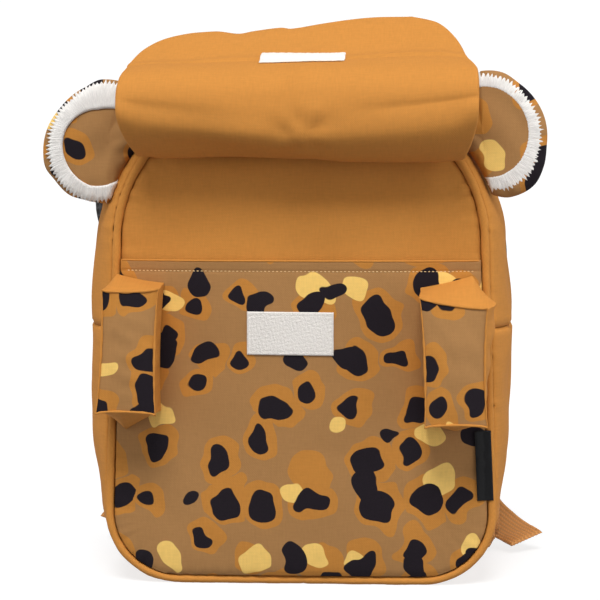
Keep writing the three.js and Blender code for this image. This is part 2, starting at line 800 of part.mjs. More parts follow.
// Along the strap's end from its edge: the bars of the buckle, and where it ends.
const topBar = buckleNeck;
const middleBar = topBar + buckleBar + upperSlot;
const lowerBar = middleBar + buckleBar + lowerSlot;
const buckleEnd = lowerBar + buckleBar;
const halfTurn = spread(0, Math.PI, 4);

// The frame of a strap's end: heading runs down the strap and outward away from the bag.
function strapEnd(route) {
  const [place, side] = route[route.length - 1];
  const heading = place.clone().sub(route[route.length - 2][0]).normalize();
  const across = side.clone().addScaledVector(heading, -side.dot(heading)).normalize();
  const outward = new THREE.Vector3().crossVectors(across, heading);
  const from = (down, off) =>
    place.clone().addScaledVector(heading, down).addScaledVector(outward, off);
  return { place, heading, across, outward, from };
}

function buckleGeometry(end) {
  const halfSlot = webbingWidth / 2 + seamGap;
  const halfSpan = halfSlot + buckleSide;
  const frame = new THREE.Shape();
  frame.moveTo(-halfSpan, topBar).lineTo(halfSpan, topBar);
  frame.lineTo(halfSpan, buckleEnd).lineTo(-halfSpan, buckleEnd);
  for (const [low, high] of [[topBar + buckleBar, middleBar], [middleBar + buckleBar, lowerBar]]) {
    const slot = new THREE.Path();
    slot.moveTo(-halfSlot, low).lineTo(-halfSlot, high);
    slot.lineTo(halfSlot, high).lineTo(halfSlot, low);
    frame.holes.push(slot);
  }
  const geometry = new THREE.ExtrudeGeometry(frame, { depth: buckleThickness, bevelEnabled: false });
  geometry.translate(0, 0, -buckleThickness / 2);
  const basis = new THREE.Matrix4().makeBasis(end.across, end.heading, end.outward);
  return geometry.applyMatrix4(basis.setPosition(end.place));
}

// The tab lies on the strap, goes round the top bar and back under the lining.
function tabGeometry({ from, across }) {
  const barOff = buckleThickness / 2 + seamGap + tabThickness / 2;
  const overOff = strapPadding / 2 + clothGap + tabThickness / 2;
  const underOff = overOff + liningThickness + liningGap;
  const turnAt = topBar + buckleBar;
  const route = [
    from(-tabHold, overOff),
    from(-1, overOff),
    ...halfTurn.map((turn) => from(turnAt + barOff * Math.sin(turn), barOff * Math.cos(turn))),
    from(-1, -underOff),
    from(-tabHold, -underOff),
  ].map((place) => [place, across]);
  return ribbon(route, { width: webbingWidth - 1, thickness: tabThickness, steps: 18 });
}

// The anchor is a short tab on the back seam of a lower corner, and the webbing is sewn to it.
const anchorHeight = anchorWidth / 2 + anchorThickness;
const anchorY = halfDepth + pipingRadius + seamGap + anchorThickness / 2;
const anchorInner = (flatHalf + footRadius * 0.6) * flareAt(anchorHeight);

function anchorGeometry(hand) {
  const route = [0, 0.5, 1].map((share) => [
    new THREE.Vector3(hand * (anchorInner + share * anchorLength), anchorY, anchorHeight),
    new THREE.Vector3(0, 0, hand),
  ]);
  return ribbon(route, { width: anchorWidth, thickness: anchorThickness, steps: 4, endShare: 0.7 });
}

// The webbing comes up from the anchor behind the buckle, turns round the middle bar and hangs
// down to its free end.
function webbingGeometry(hand, { from, across }, tail) {
  const runOff = buckleThickness / 2 + seamGap + webbingThickness / 2;
  const rootX = hand * (anchorInner + anchorLength / 2);
  const rootY = anchorY + (anchorThickness + webbingThickness) / 2 + 2 * clothGap;
  const upright = new THREE.Vector3(1, 0, 0);
  const root = [-1, 1].map((side) => [
    new THREE.Vector3(rootX, rootY, anchorHeight + (side * webbingWidth) / 3),
    upright,
  ]);
  const rise = [buckleEnd + buckleNeck, buckleEnd, middleBar + buckleBar].map((down) => [
    from(down, -runOff),
    across,
  ]);
  const turn = halfTurn.map((angle) => [
    from(middleBar - runOff * Math.sin(angle), -runOff * Math.cos(angle)),
    across,
  ]);
  const fall = [middleBar + buckleBar, buckleEnd, buckleEnd + buckleNeck].map((down) => [
    from(down, runOff),
    across,
  ]);
  const free = tail.map(({ out, behind, high, across: side }) => [
    new THREE.Vector3(hand * out * halfWidth, halfDepth + behind * strapReach, high * bodyHeight),
    new THREE.Vector3(side[0], hand * side[1], hand * side[2]),
  ]);
  const route = [...root, ...rise, ...turn, ...fall, ...free];
  const steps = 2 * (route.length - 1);
  return ribbon(route, { width: webbingWidth, thickness: webbingThickness, steps });
}

function addStrap(name, hand, { splay, push }, tail) {
  const rootZ = strapStops[0].high * bodyHeight;
  const rootY = backFaceY(0, rootZ - strapPadding - liningThickness) + clothGap;
  const route = strapStops.map(({ out, behind, high, shift, across }, stop) => {
    const x = hand * halfWidth * (out * (stop < 2 ? 1 : splay) + shift * push);
    const place = new THREE.Vector3(x, rootY + behind * strapReach, high * bodyHeight);
    return [place, new THREE.Vector3(across[0], hand * across[1], hand * across[2])];
  });
  const shape = { width: strapWidth, steps: 16, endShare: 0.6, sides: 4 };
  const liningLift = -(strapPadding + liningThickness) / 2 - liningGap;
  const end = strapEnd(route);
  const pad = ribbon(route, { ...shape, thickness: strapPadding });
  const lining = ribbon(route, { ...shape, thickness: liningThickness, lift: liningLift });
  addPiece(`strap_${name}`, pad, clothColour);
  addPiece(`strap_lining_${name}`, lining, blackColour);
  addPiece(`buckle_${name}`, buckleGeometry(end), blackColour, 0.4);
  addPiece(`tab_${name}`, tabGeometry(end), clothColour);
  addPiece(`anchor_${name}`, anchorGeometry(hand), clothColour);
  addPiece(`webbing_${name}`, webbingGeometry(hand, end, tail), clothColour);
}
addStrap("left", -1, { splay: strapSplayLeft, push: strapShiftLeft }, leftTail);
addStrap("right", 1, { splay: strapSplayRight, push: strapShiftRight }, rightTail);

export default model;
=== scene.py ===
# A small child's backpack with round ears and stuffed paws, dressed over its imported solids.
# Sizes here are in millimetres, in the frame's own axes, and become metres as a mesh is made.
import math

import bpy
import numpy as np
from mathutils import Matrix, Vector


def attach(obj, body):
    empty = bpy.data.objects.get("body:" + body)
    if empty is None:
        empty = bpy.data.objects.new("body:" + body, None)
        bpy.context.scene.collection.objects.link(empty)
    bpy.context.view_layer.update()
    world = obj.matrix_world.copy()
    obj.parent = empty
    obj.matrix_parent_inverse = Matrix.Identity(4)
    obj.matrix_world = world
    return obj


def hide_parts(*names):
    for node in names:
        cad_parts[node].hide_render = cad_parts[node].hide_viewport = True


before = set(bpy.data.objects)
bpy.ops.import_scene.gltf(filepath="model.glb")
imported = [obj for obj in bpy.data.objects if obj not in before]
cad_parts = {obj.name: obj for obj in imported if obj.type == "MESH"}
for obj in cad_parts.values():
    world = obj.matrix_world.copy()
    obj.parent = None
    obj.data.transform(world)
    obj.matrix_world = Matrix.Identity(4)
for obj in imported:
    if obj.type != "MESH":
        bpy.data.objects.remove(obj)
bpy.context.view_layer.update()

METRES = 0.001

# The body
PANEL_WIDTH = 222
FOOT_FLARE = 18
BODY_HEIGHT = 283
BODY_DEPTH = 105
FOOT_RADIUS = 43
SHOULDER_RADIUS = 80
CROSS_SEAM_HEIGHT = 150
SIDE_SWELL = 15
FRONT_CROWN = 9
BACK_CROWN = 4
CLOTH_WALL = 1.6
BACK_PADDING = 9
PIPING_RADIUS = 2.4
MOUTH_SHARE = 5 / 8
SEAM_GAP = 0.3
CLOTH_GAP = 0.5
LINING_GAP = 0.9

# The pocket and what is sewn on it
POCKET_HEIGHT = 190
POCKET_SLACK = 1.2
HEM_DEPTH = 6.3
PATCH_WIDTH = 50
PATCH_HEIGHT = 25
PATCH_THICKNESS = 1
PATCH_CENTRE = (-5, 148)
PATCH_LEAN = 0.008
PAW_REACH = 31
TAG_WIDTH = 9.5
TAG_HEIGHT = 41
TAG_THICKNESS = 0.9
TAG_CENTRE_Z = 71

# The lid
LID_WIDTH = 204
LID_PADDING = 5
LID_REACH = 39
LID_RISE = 42
LID_DROP = 33
LID_DIP = 10
LID_TILT = 5.5
LID_ROOT_SHARE = 0.54
LID_HEM_SHARE = 1 / 6
STRIP_WIDTH = 49
STRIP_LENGTH = 24
STRIP_THICKNESS = 1
STRIP_CENTRE_X = 1.5
STRIP_ROW = 18

# The ears
EAR_RADIUS = 36.5
EAR_THICKNESS = 14
TRIM_TOOTH = 2.6
TRIM_THICKNESS = 1.2
TRIM_TEETH = 58

# The straps
STRAP_WIDTH = 50
STRAP_PADDING = 6.5
STRAP_SEAM_INSET = 3.4
LINING_THICKNESS = 1.3
STRAP_REACH = 52
WEBBING_WIDTH = 25
WEBBING_THICKNESS = 1.5
WEBBING_RIBS = 9
TAB_THICKNESS = 1.5
TAB_HOLD = 13
BUCKLE_THICKNESS = 3.2
BUCKLE_BAR = 3
BUCKLE_NECK = 5
UPPER_SLOT = 7.6
LOWER_SLOT = 5
ANCHOR_WIDTH = 38
ANCHOR_LENGTH = 20
ANCHOR_THICKNESS = 2.4

# Threads and finish
STITCH_PITCH = 2.3
STITCH_LENGTH = 1.3
STITCH_RADIUS = 0.27

half_width = PANEL_WIDTH / 2
half_depth = BODY_DEPTH / 2
panel_inset = 2 * PIPING_RADIUS + SEAM_GAP
foot_arc = math.pi / 2 * FOOT_RADIUS
shoulder_arc = math.pi / 2 * SHOULDER_RADIUS
flat_half = half_width - FOOT_RADIUS
side_run = BODY_HEIGHT - FOOT_RADIUS - SHOULDER_RADIUS
top_half = half_width - SHOULDER_RADIUS
foot_end = flat_half + foot_arc
side_end = foot_end + side_run
shoulder_end = side_end + shoulder_arc
rim_half = shoulder_end + top_half
seam_along = foot_end + CROSS_SEAM_HEIGHT - FOOT_RADIUS
mouth_along = side_end + shoulder_arc * MOUTH_SHARE
shoulder_base = BODY_HEIGHT - SHOULDER_RADIUS
wall_front = -half_depth + PIPING_RADIUS + SEAM_GAP


# Curves and noise

def look(table, place):
    """A smooth curve through a table's rows [place, value], without overshoot."""
    at, value = np.array(table, float).T
    step = np.diff(at)
    slope = np.diff(value) / step
    bend = np.zeros(len(at))
    same = slope[:-1] * slope[1:] > 0
    both = slope[:-1] + slope[1:]
    bend[1:-1][same] = 2 * slope[:-1][same] * slope[1:][same] / both[same]
    bend[0], bend[-1] = slope[0], slope[-1]
    place = np.clip(place, at[0], at[-1])
    row = np.clip(np.searchsorted(at, place, side="right") - 1, 0, len(slope) - 1)
    share = (place - at[row]) / step[row]
    rest = 1 - share
    ends = value[row] * (1 + 2 * share) * rest ** 2 + value[row + 1] * (3 - 2 * share) * share ** 2
    lean = bend[row] * share * rest ** 2 - bend[row + 1] * share ** 2 * rest
    return ends + lean * step[row]


def ripple(places, wavelength, seed, waves=7):
    """Smooth unevenness of about -1 to 1 over places of one or more coordinates."""
    dice = np.random.default_rng(seed)
    places = np.atleast_1d(np.asarray(places, float))
    if places.ndim == 1:
        places = places[:, None]
    total = np.zeros(places.shape[:-1])
    for _ in range(waves):
        heading = dice.normal(size=places.shape[-1])
        heading *= 2 * math.pi / wavelength * dice.uniform(0.6, 1.5) / np.linalg.norm(heading)
        total += np.sin(places @ heading + dice.uniform(0, 2 * math.pi))
    return total / math.sqrt(waves)


def bump(distance, reach):
    """1 at no distance, fading to nothing past the reach."""
    return np.exp(-(np.asarray(distance, float) / reach) ** 2)


def ease(low, high, value):
    share = np.clip((np.asarray(value, float) - low) / (high - low), 0, 1)
    return share * share * (3 - 2 * share)


def dense_ends(low, high, count):
    """Steps that lie closer together towards both ends."""
    turn = np.linspace(0, math.pi, count)
    share = 0.5 - 0.5 * np.cos(turn)
    even = np.linspace(0, 1, count)
    return low + (high - low) * (0.55 * share + 0.45 * even)


# Meshes

def new_piece(name, places, faces, cloth=None):
    """A mesh piece from places in millimetres. cloth holds each place on the flat cloth."""
    mesh = bpy.data.meshes.new(name)
    mesh.from_pydata((np.asarray(places, float) * METRES).tolist(), [], faces)
    mesh.validate()
    mesh.polygons.foreach_set("use_smooth", [True] * len(mesh.polygons))
    if cloth is not None:
        flat = np.zeros((len(places), 3), np.float32)
        flat[:, :2] = cloth
        lay = mesh.attributes.new("cloth_mm", "FLOAT_VECTOR", "POINT")
        lay.data.foreach_set("vector", flat.ravel())
    piece = bpy.data.objects.new(name, mesh)
    bpy.context.scene.collection.objects.link(piece)
    return piece


def turned_out(places, faces):
    """The faces, turned so that a closed mesh faces outwards."""
    places = np.asarray(places, float)
    quads = np.array([face for face in faces if len(face) == 4])
    a, b, c, d = (places[quads[:, corner]] for corner in range(4))
    volume = (a * np.cross(b, c)).sum() + (a * np.cross(c, d)).sum()
    return [face[::-1] for face in faces] if volume < 0 else faces


def grid_faces(rows, columns, first=0, wrap=False):
    faces = []
    for row in range(rows - 1):
        for column in range(columns if wrap else columns - 1):
            after = (column + 1) % columns
            a = first + row * columns + column
            b = first + row * columns + after
            faces.append((a, b, b + columns, a + columns))
    return faces


def grid_normals(grid):
    along = np.gradient(grid, axis=1)
    up = np.gradient(grid, axis=0)
    normal = np.cross(along, up)
    return normal / np.maximum(np.linalg.norm(normal, axis=-1, keepdims=True), 1e-9)


def hem_round(grid, thickness, open_sides=(True, True, True, True)):
    """The thickness of a sheet, drawn in to a round edge on its open sides: left, right, first, last."""
    across = np.linalg.norm(np.diff(grid, axis=1), axis=-1)
    along = np.linalg.norm(np.diff(grid, axis=0), axis=-1)
    from_left = np.concatenate([np.zeros((grid.shape[0], 1)), np.cumsum(across, axis=1)], axis=1)
    from_first = np.concatenate([np.zeros((1, grid.shape[1])), np.cumsum(along, axis=0)], axis=0)
    distances = (from_left, from_left[:, -1:] - from_left, from_first, from_first[-1:] - from_first)
    result = np.array(thickness, float) * np.ones(grid.shape[:2])
    radius = np.maximum(result / 2, 0.4)
    for distance, is_open in zip(distances, open_sides):
        if is_open:
            share = np.clip(distance / radius, 0, 1)
            result = result * np.maximum(np.sqrt(1 - (1 - share) ** 2), 0.12)
    return result


def sheet_piece(name, grid, thickness, cloth, lift=0.0, open_sides=(True, True, True, True)):
    """A closed sheet of cloth over a grid of places, with round hems on its open sides."""
    normals = grid_normals(grid)
    body = hem_round(grid, thickness, open_sides)[..., None]
    lift = np.asarray(lift, float)
    if lift.ndim:
        lift = lift[..., None]
    front = grid + normals * (lift + body / 2)
    back = grid + normals * (lift - body / 2)
    rows, columns = grid.shape[:2]
    half = rows * columns
    places = np.concatenate([front.reshape(-1, 3), back.reshape(-1, 3)])
    faces = grid_faces(rows, columns)
    faces += [tuple(half + corner for corner in face[::-1]) for face in grid_faces(rows, columns)]
    rim = [column for column in range(columns - 1)]
    rim += [row * columns + columns - 1 for row in range(rows - 1)]
    rim += [(rows - 1) * columns + column for column in range(columns - 1, 0, -1)]
    rim += [row * columns for row in range(rows - 1, 0, -1)]
    for place, a in enumerate(rim):
        b = rim[(place + 1) % len(rim)]
        faces.append((a, half + a, half + b, b))
    flat = np.concatenate([cloth.reshape(-1, 2)] * 2)
    piece = new_piece(name, places, turned_out(places, faces), flat)
    piece["flat_area"] = grid_area(grid)
    return piece


def grid_area(grid):
    a = grid[1:, 1:] - grid[:-1, :-1]
    b = grid[1:, :-1] - grid[:-1, 1:]
    return float(np.linalg.norm(np.cross(a, b), axis=-1).sum() / 2) * METRES ** 2


def tube_piece(name, rings, cloth, is_loop=True):
    """A closed tube through rings of places, joined end to end as a loop or capped."""
    spans, around = rings.shape[:2]
    places = rings.reshape(-1, 3)
    faces = grid_faces(spans, around, wrap=True)
    if is_loop:
        last = (spans - 1) * around
        for step in range(around):
            after = (step + 1) % around
            faces.append((last + step, last + after, after, step))
    else:
        faces.append(tuple(range(around))[::-1])
        faces.append(tuple((spans - 1) * around + step for step in range(around)))
    return new_piece(name, places, turned_out(places, faces), cloth.reshape(-1, 2))


def stitch_row(name, starts, ends, outward):
    """A row of thread stitches, each a small round bead between two places."""
    sides, spans = 6, 4
    places, faces = [], []
    for start, end, out in zip(starts, ends, outward):
        heading = end - start
        length = np.linalg.norm(heading)
        heading = heading / length
        side = np.cross(heading, out)
        side /= np.linalg.norm(side)
        rise = np.cross(side, heading)
        first = len(places)
        for span in range(spans + 1):
            share = span / spans
            wide = STITCH_RADIUS * math.sin(math.pi * (0.12 + 0.76 * share)) ** 0.6
            sink = STITCH_RADIUS * 0.9 * (1 - math.sin(math.pi * share))
            for step in range(sides):
                turn = 2 * math.pi * step / sides
                off = side * math.cos(turn) * wide + rise * (math.sin(turn) * wide - sink)
                places.append(start + heading * length * share + off)
        faces += grid_faces(spans + 1, sides, first, wrap=True)
        faces.append(tuple(first + step for step in range(sides))[::-1])
        faces.append(tuple(first + spans * sides + step for step in range(sides)))
    return new_piece(name, np.array(places), faces)


def stitches_along(name, route, outward, pitch=STITCH_PITCH, length=STITCH_LENGTH):
    """Stitches at even steps along a route of places, each with its direction out."""
    run = np.concatenate([[0], np.cumsum(np.linalg.norm(np.diff(route, axis=0), axis=1))])
    count = max(1, int((run[-1] - length) / pitch))
    margin = (run[-1] - (count - 1) * pitch - length) / 2
    at = margin + pitch * np.arange(count)

    def place_at(distance):
        return np.stack([np.interp(distance, run, route[:, axis]) for axis in range(3)], axis=-1)

    out = np.stack([np.interp(at, run, outward[:, axis]) for axis in range(3)], axis=-1)
    return stitch_row(name, place_at(at), place_at(at + length), out)


# The rim of the front and the back

def flare_at(z):
    return 1 + FOOT_FLARE / PANEL_WIDTH * (0.5 - z / BODY_HEIGHT)


def rim_at(along):
    """x, z and the outward direction of the rim at distances from the middle of the bottom."""
    along = np.asarray(along, float)
    hand = np.where(along < 0, -1.0, 1.0)
    run = np.abs(along)
    foot = np.clip((run - flat_half) / FOOT_RADIUS, 0, math.pi / 2)
    shoulder = np.clip((run - side_end) / SHOULDER_RADIUS, 0, math.pi / 2)
    x = np.minimum(run, flat_half) + FOOT_RADIUS * np.sin(foot)
    x -= SHOULDER_RADIUS * (1 - np.cos(shoulder)) + np.maximum(run - shoulder_end, 0)
    z = FOOT_RADIUS * (1 - np.cos(foot)) + np.clip(run - foot_end, 0, side_run)
    z += SHOULDER_RADIUS * np.sin(shoulder)
    out_x = hand * np.sin(foot) * np.cos(shoulder)
    out_z = np.sin(shoulder) - np.cos(foot)
    return x * hand * flare_at(z), z, out_x, out_z


SWELL_BY_HEIGHT = [
    [0, 0], [0.06, 0.02], [0.15, 0.3], [0.3, 0.75], [0.5, 1], [0.7, 0.95], [0.85, 0.75], [1, 0.5],
]
SWELL_BY_DEPTH = [[0, 0], [0.12, 0.5], [0.28, 0.86], [0.5, 1], [0.72, 0.86], [0.88, 0.5], [1, 0]]
CROWN_BY_HEIGHT = [
    [0, 0], [0.05, 0.3], [0.12, 0.55], [0.25, 0.82], [0.42, 1], [0.62, 0.95], [0.78, 0.68], [0.9, 0.32],
    [1, 0],
]


def swell_at(z, y):
    depth_share = (y + half_depth) / BODY_DEPTH
    return SIDE_SWELL * look(SWELL_BY_HEIGHT, z / BODY_HEIGHT) * look(SWELL_BY_DEPTH, depth_share)


def half_width_at(z):
    """Half the width inside the rim at a height."""
    z = np.asarray(z, float)
    foot = np.clip(FOOT_RADIUS - z, 0, FOOT_RADIUS - panel_inset)
    shoulder = np.clip(z - shoulder_base, 0, SHOULDER_RADIUS - panel_inset)
    low = np.sqrt((FOOT_RADIUS - panel_inset) ** 2 - foot ** 2) - (FOOT_RADIUS - panel_inset)
    high = np.sqrt((SHOULDER_RADIUS - panel_inset) ** 2 - shoulder ** 2)
    half = half_width - panel_inset + low + high - (SHOULDER_RADIUS - panel_inset)
    return half * flare_at(z)


def crown_share(x, z):
    side_share = np.minimum(1, np.abs(x) / half_width_at(z))
    return (1 - side_share ** 2.6) * look(CROWN_BY_HEIGHT, z / BODY_HEIGHT)


def front_y(x, z):
    return -half_depth - FRONT_CROWN * crown_share(x, z)


def pocket_y(x, z):
    return front_y(x, z) - CLOTH_WALL - CLOTH_GAP - POCKET_SLACK * crown_share(x, z)


def seam_place(x, z):
    """How far each place lies inside the piping, and how far along the rim."""
    along = np.linspace(-rim_half, rim_half, 900)
    rim_x, rim_z, out_x, out_z = rim_at(along)
    rim = np.stack([rim_x - out_x * panel_inset, rim_z - out_z * panel_inset], axis=-1)
    flat = np.stack([np.ravel(x), np.ravel(z)], axis=-1)
    nearest = np.empty(len(flat), int)
    for first in range(0, len(flat), 2000):
        gap = ((flat[first:first + 2000, None, :] - rim[None]) ** 2).sum(-1)
        nearest[first:first + 2000] = gap.argmin(1)
    distance = np.linalg.norm(flat - rim[nearest], axis=-1)
    return distance.reshape(np.shape(x)), along[nearest].reshape(np.shape(x))


def seam_puckers(distance, along, seed, depth=0.5, reach=9):
    """The small gathers that a seam draws into the cloth beside it."""
    gathers = ripple(along.reshape(-1, 1), 8.5, seed).reshape(np.shape(along))
    return depth * gathers * np.exp(-distance / reach)


# Node materials

def linear(code):
    """A colour written as sRGB hex, as linear numbers."""
    shares = [int(code[place:place + 2], 16) / 255 for place in (1, 3, 5)]
    return [share / 12.92 if share <= 0.04045 else ((share + 0.055) / 1.055) ** 2.4 for share in shares] + [1]


def add(tree, kind, inputs=None, **settings):
    """Adds a node with its settings, and sets or links its inputs."""
    made = tree.nodes.new("ShaderNode" + kind)
    for name, value in settings.items():
        setattr(made, name, value)
    for socket, value in (inputs or {}).items():
        if isinstance(value, bpy.types.NodeSocket):
            tree.links.new(value, made.inputs[socket])
        else:
            made.inputs[socket].default_value = value
    return made


def new_material(name, **finish):
    """A material with one shader, whose inputs are given by name with _ for a space."""
    material = bpy.data.materials.new(name)
    material.use_nodes = True
    tree = material.node_tree
    tree.nodes.clear()
    shader = add(tree, "BsdfPrincipled")
    for socket, value in finish.items():
        shader.inputs[socket.replace("_", " ")].default_value = value
    add(tree, "OutputMaterial", {0: shader.outputs[0]})
    return material, tree, shader


def tint(tree, shader, colour, shade):
    """Gives the shader its colour, lighter or darker by the shade."""
    toned = add(tree, "VectorMath", {0: colour, "Scale": shade}, operation="SCALE")
    tree.links.new(toned.outputs[0], shader.inputs["Base Color"])


def emboss(tree, shader, height, strength, depth_mm):
    """Gives the shader its fine relief."""
    relief = add(tree, "Bump", {"Height": height, "Strength": strength, "Distance": depth_mm * METRES})
    tree.links.new(relief.outputs[0], shader.inputs["Normal"])


def noise(tree, lay, scale, detail, roughness=0.5):
    return add(tree, "TexNoise", {"Vector": lay, "Scale": scale, "Detail": detail, "Roughness": roughness})


def scaled(tree, lay, scale):
    return add(tree, "Mapping", {"Vector": lay, "Scale": scale}).outputs[0]


def spread_out(tree, value, low, high, to_low=0.0, to_high=1.0):
    """A value's range from low to high, turned to another range."""
    inputs = {"Value": value, "From Min": low, "From Max": high, "To Min": to_low, "To Max": to_high}
    return add(tree, "MapRange", inputs).outputs[0]


def mixed(tree, share, first, second):
    """The first colour under the second, which covers it by the share."""
    inputs = {0: share, 6: first, 7: second}
    return add(tree, "Mix", inputs, data_type="RGBA").outputs[2]


def sums(tree, operation, *values):
    return add(tree, "Math", dict(enumerate(values)), operation=operation).outputs[0]


THREAD_MM = 1.05  # real threads are about 0.35 mm, drawn coarser so that they show
SLUB_MM = 7  # length over which a thread keeps its shade


def weave(tree, lay, colour, shader, depth=0.2, contrast=0.07):
    """A plain weave on the flat cloth: threads both ways, each with its own shade."""
    wide = 2 * math.pi / THREAD_MM
    apart = add(tree, "SeparateXYZ", {0: lay})
    warp = sums(tree, "SINE", sums(tree, "MULTIPLY", apart.outputs[0], wide))
    weft = sums(tree, "SINE", sums(tree, "MULTIPLY", apart.outputs[1], wide))
    height = sums(tree, "MULTIPLY", warp, weft)
    shades = [noise(tree, scaled(tree, lay, scale), 1.0, 1.0).outputs[0]
              for scale in ((1 / THREAD_MM, 1 / SLUB_MM, 1), (1 / SLUB_MM, 1 / THREAD_MM, 1))]
    both = sums(tree, "ADD", *shades)
    wear = noise(tree, lay, 0.022, 3.0).outputs[0]
    tone = sums(tree, "ADD", sums(tree, "MULTIPLY", sums(tree, "SUBTRACT", both, 1.0), contrast * 2.2),
                sums(tree, "MULTIPLY", sums(tree, "SUBTRACT", wear, 0.5), contrast))
    # Painted shade on the weave: the tone follows the threads' height, a little lighter on the crossings and
    # darker in the low spots.
    tone = sums(tree, "ADD", tone, sums(tree, "MULTIPLY", height, contrast * 0.22))
    tint(tree, shader, colour, sums(tree, "ADD", tone, 1.0))
    emboss(tree, shader, sums(tree, "ADD", height, both), depth, 0.3)


def cloth_lay(tree):
    return add(tree, "Attribute", attribute_name="cloth_mm").outputs["Vector"]


def dyed_polyester(name, code):
    """Plain-woven polyester, dyed: matt, with fine threads and hardly a shine."""
    material, tree, shader = new_material(name, Roughness=0.82, Specular_IOR_Level=0.12)
    weave(tree, cloth_lay(tree), linear(code)[:3], shader)
    return material


OCHRE = "#c6853d"
PRINT_GROUND = "#a5794a"
PRINT_OCHRE = "#bd7f38"
PRINT_DARK = "#1d171d"
PRINT_YELLOW = "#f0c66e"


def spots(tree, lay, spacing, radius, spread, seed, skip=0.0, off_centre=0.0, raggedness=2.4):
    """Where round-cornered spots of about one size lie on the flat cloth, as 0 or 1."""
    moved = add(tree, "Mapping", {"Vector": lay, "Location": (seed * 31.7, seed * 17.3, 0)}).outputs[0]
    wobble = noise(tree, moved, 0.05, 1.0)
    centred = add(tree, "VectorMath", {0: wobble.outputs[1], 1: (0.5, 0.5, 0.5)}, operation="SUBTRACT")
    push = add(tree, "VectorMath", {0: centred.outputs[0], "Scale": raggedness * 8}, operation="SCALE")
    drift = add(tree, "Mapping", {"Vector": push.outputs[0], "Location": (off_centre, off_centre / 2, 0)})
    bent = add(tree, "VectorMath", {0: moved, 1: drift.outputs[0]}, operation="ADD")
    cells = add(tree, "TexVoronoi", {"Vector": bent.outputs[0], "Scale": 1 / spacing, "Randomness": 0.72},
                voronoi_dimensions="2D")
    draw = add(tree, "SeparateColor", {0: cells.outputs["Color"]})
    reach = sums(tree, "ADD", radius / spacing, sums(tree, "MULTIPLY", draw.outputs[0], spread / spacing))
    inside = spread_out(tree, sums(tree, "SUBTRACT", reach, cells.outputs["Distance"]), 0.0, 0.35 / spacing)
    return sums(tree, "MULTIPLY", inside, sums(tree, "GREATER_THAN", draw.outputs[1], skip))


# Each ink in the order of printing, and how its spots lie: sizes in millimetres, skip as a share
INKS = (
    (PRINT_OCHRE, dict(spacing=29, radius=9.4, spread=5.5, seed=1, skip=0.05)),
    (PRINT_YELLOW, dict(spacing=37, radius=5, spread=4.5, seed=4, skip=0.35)),
    (PRINT_DARK, dict(spacing=29, radius=5.3, spread=3.6, seed=1, skip=0.16, off_centre=1.6)),
    (PRINT_DARK, dict(spacing=39, radius=5.2, spread=4.2, seed=7, skip=0.45)),
)


def printed_polyester(name):
    """The same cloth under a screen print: flat inks that leave the weave showing."""
    material, tree, shader = new_material(name, Roughness=0.8, Specular_IOR_Level=0.12)
    lay = cloth_lay(tree)
    colour = linear(PRINT_GROUND)
    for code, layout in INKS:
        colour = mixed(tree, spots(tree, lay, **layout), colour, linear(code))
    weave(tree, lay, colour, shader, contrast=0.06)
    return material


def napped_tape(name, code, pile_mm, depth):
    """Knitted loop or hook tape: a nap of tiny standing threads that scatters the light."""
    material, tree, shader = new_material(name, Roughness=0.95, Specular_IOR_Level=0.15, Sheen_Weight=0.3)
    nap = noise(tree, cloth_lay(tree), 1 / pile_mm, 3.0, 0.65).outputs[0]
    tint(tree, shader, linear(code)[:3], spread_out(tree, nap, 0.3, 0.7, 0.86, 1.04))
    emboss(tree, shader, nap, depth, 0.6)
    return material


def embroidered_pile(name, code):
    """Satin-stitched pile: dense threads that run from the inner edge out to the teeth."""
    material, tree, shader = new_material(name, Roughness=0.7, Sheen_Weight=0.35)
    threads = noise(tree, scaled(tree, cloth_lay(tree), (1.6, 0.16, 1)), 1.0, 4.0, 0.7).outputs[0]
    tint(tree, shader, linear(code)[:3], spread_out(tree, threads, 0.3, 0.7, 0.74, 1.06))
    emboss(tree, shader, threads, 0.9, 0.7)
    return material


SATIN_RIB_MM = 0.7


def satin_ribbon(name, code):
    """Woven satin label tape: smooth and black, with a soft shine across fine cross ribs, whose crests are
    painted lighter and hollows darker as painted shade.
    """
    material, tree, shader = new_material(name, Roughness=0.5, Specular_IOR_Level=0.15)
    apart = add(tree, "SeparateXYZ", {0: cloth_lay(tree)})
    ribs = sums(tree, "SINE", sums(tree, "MULTIPLY", apart.outputs[1], 2 * math.pi / SATIN_RIB_MM))
    # Painted shade on the ribs: the colour follows the rib height, lighter on the crests and darker between
    # them.
    tint(tree, shader, linear(code)[:3], sums(tree, "ADD", sums(tree, "MULTIPLY", ribs, 0.12), 1.0))
    emboss(tree, shader, ribs, 0.25, 0.2)
    return material


MESH_MM = 2.6  # from hole to hole of the spacer mesh


def spacer_mesh(name, code):
    """Knitted spacer mesh: a black honeycomb of soft threads round holes, with painted shade darkening the
    holes and the raised walls painted lighter.
    """
    material, tree, shader = new_material(name, Roughness=0.75, Sheen_Weight=0.25)
    holes = add(tree, "TexVoronoi", {"Vector": cloth_lay(tree), "Scale": 1 / MESH_MM, "Randomness": 0.12},
                voronoi_dimensions="2D")
    # Both the relief and a painted shade: dark in the holes, lighter on the thread walls.
    wall_height_and_shade = spread_out(tree, holes.outputs["Distance"], 0.22, 0.5, 0.25, 1.5)
    tint(tree, shader, linear(code)[:3], wall_height_and_shade)
    emboss(tree, shader, wall_height_and_shade, 0.8, 0.8)
    return material


PICK_MM = 1.9  # from pick to pick along the webbing


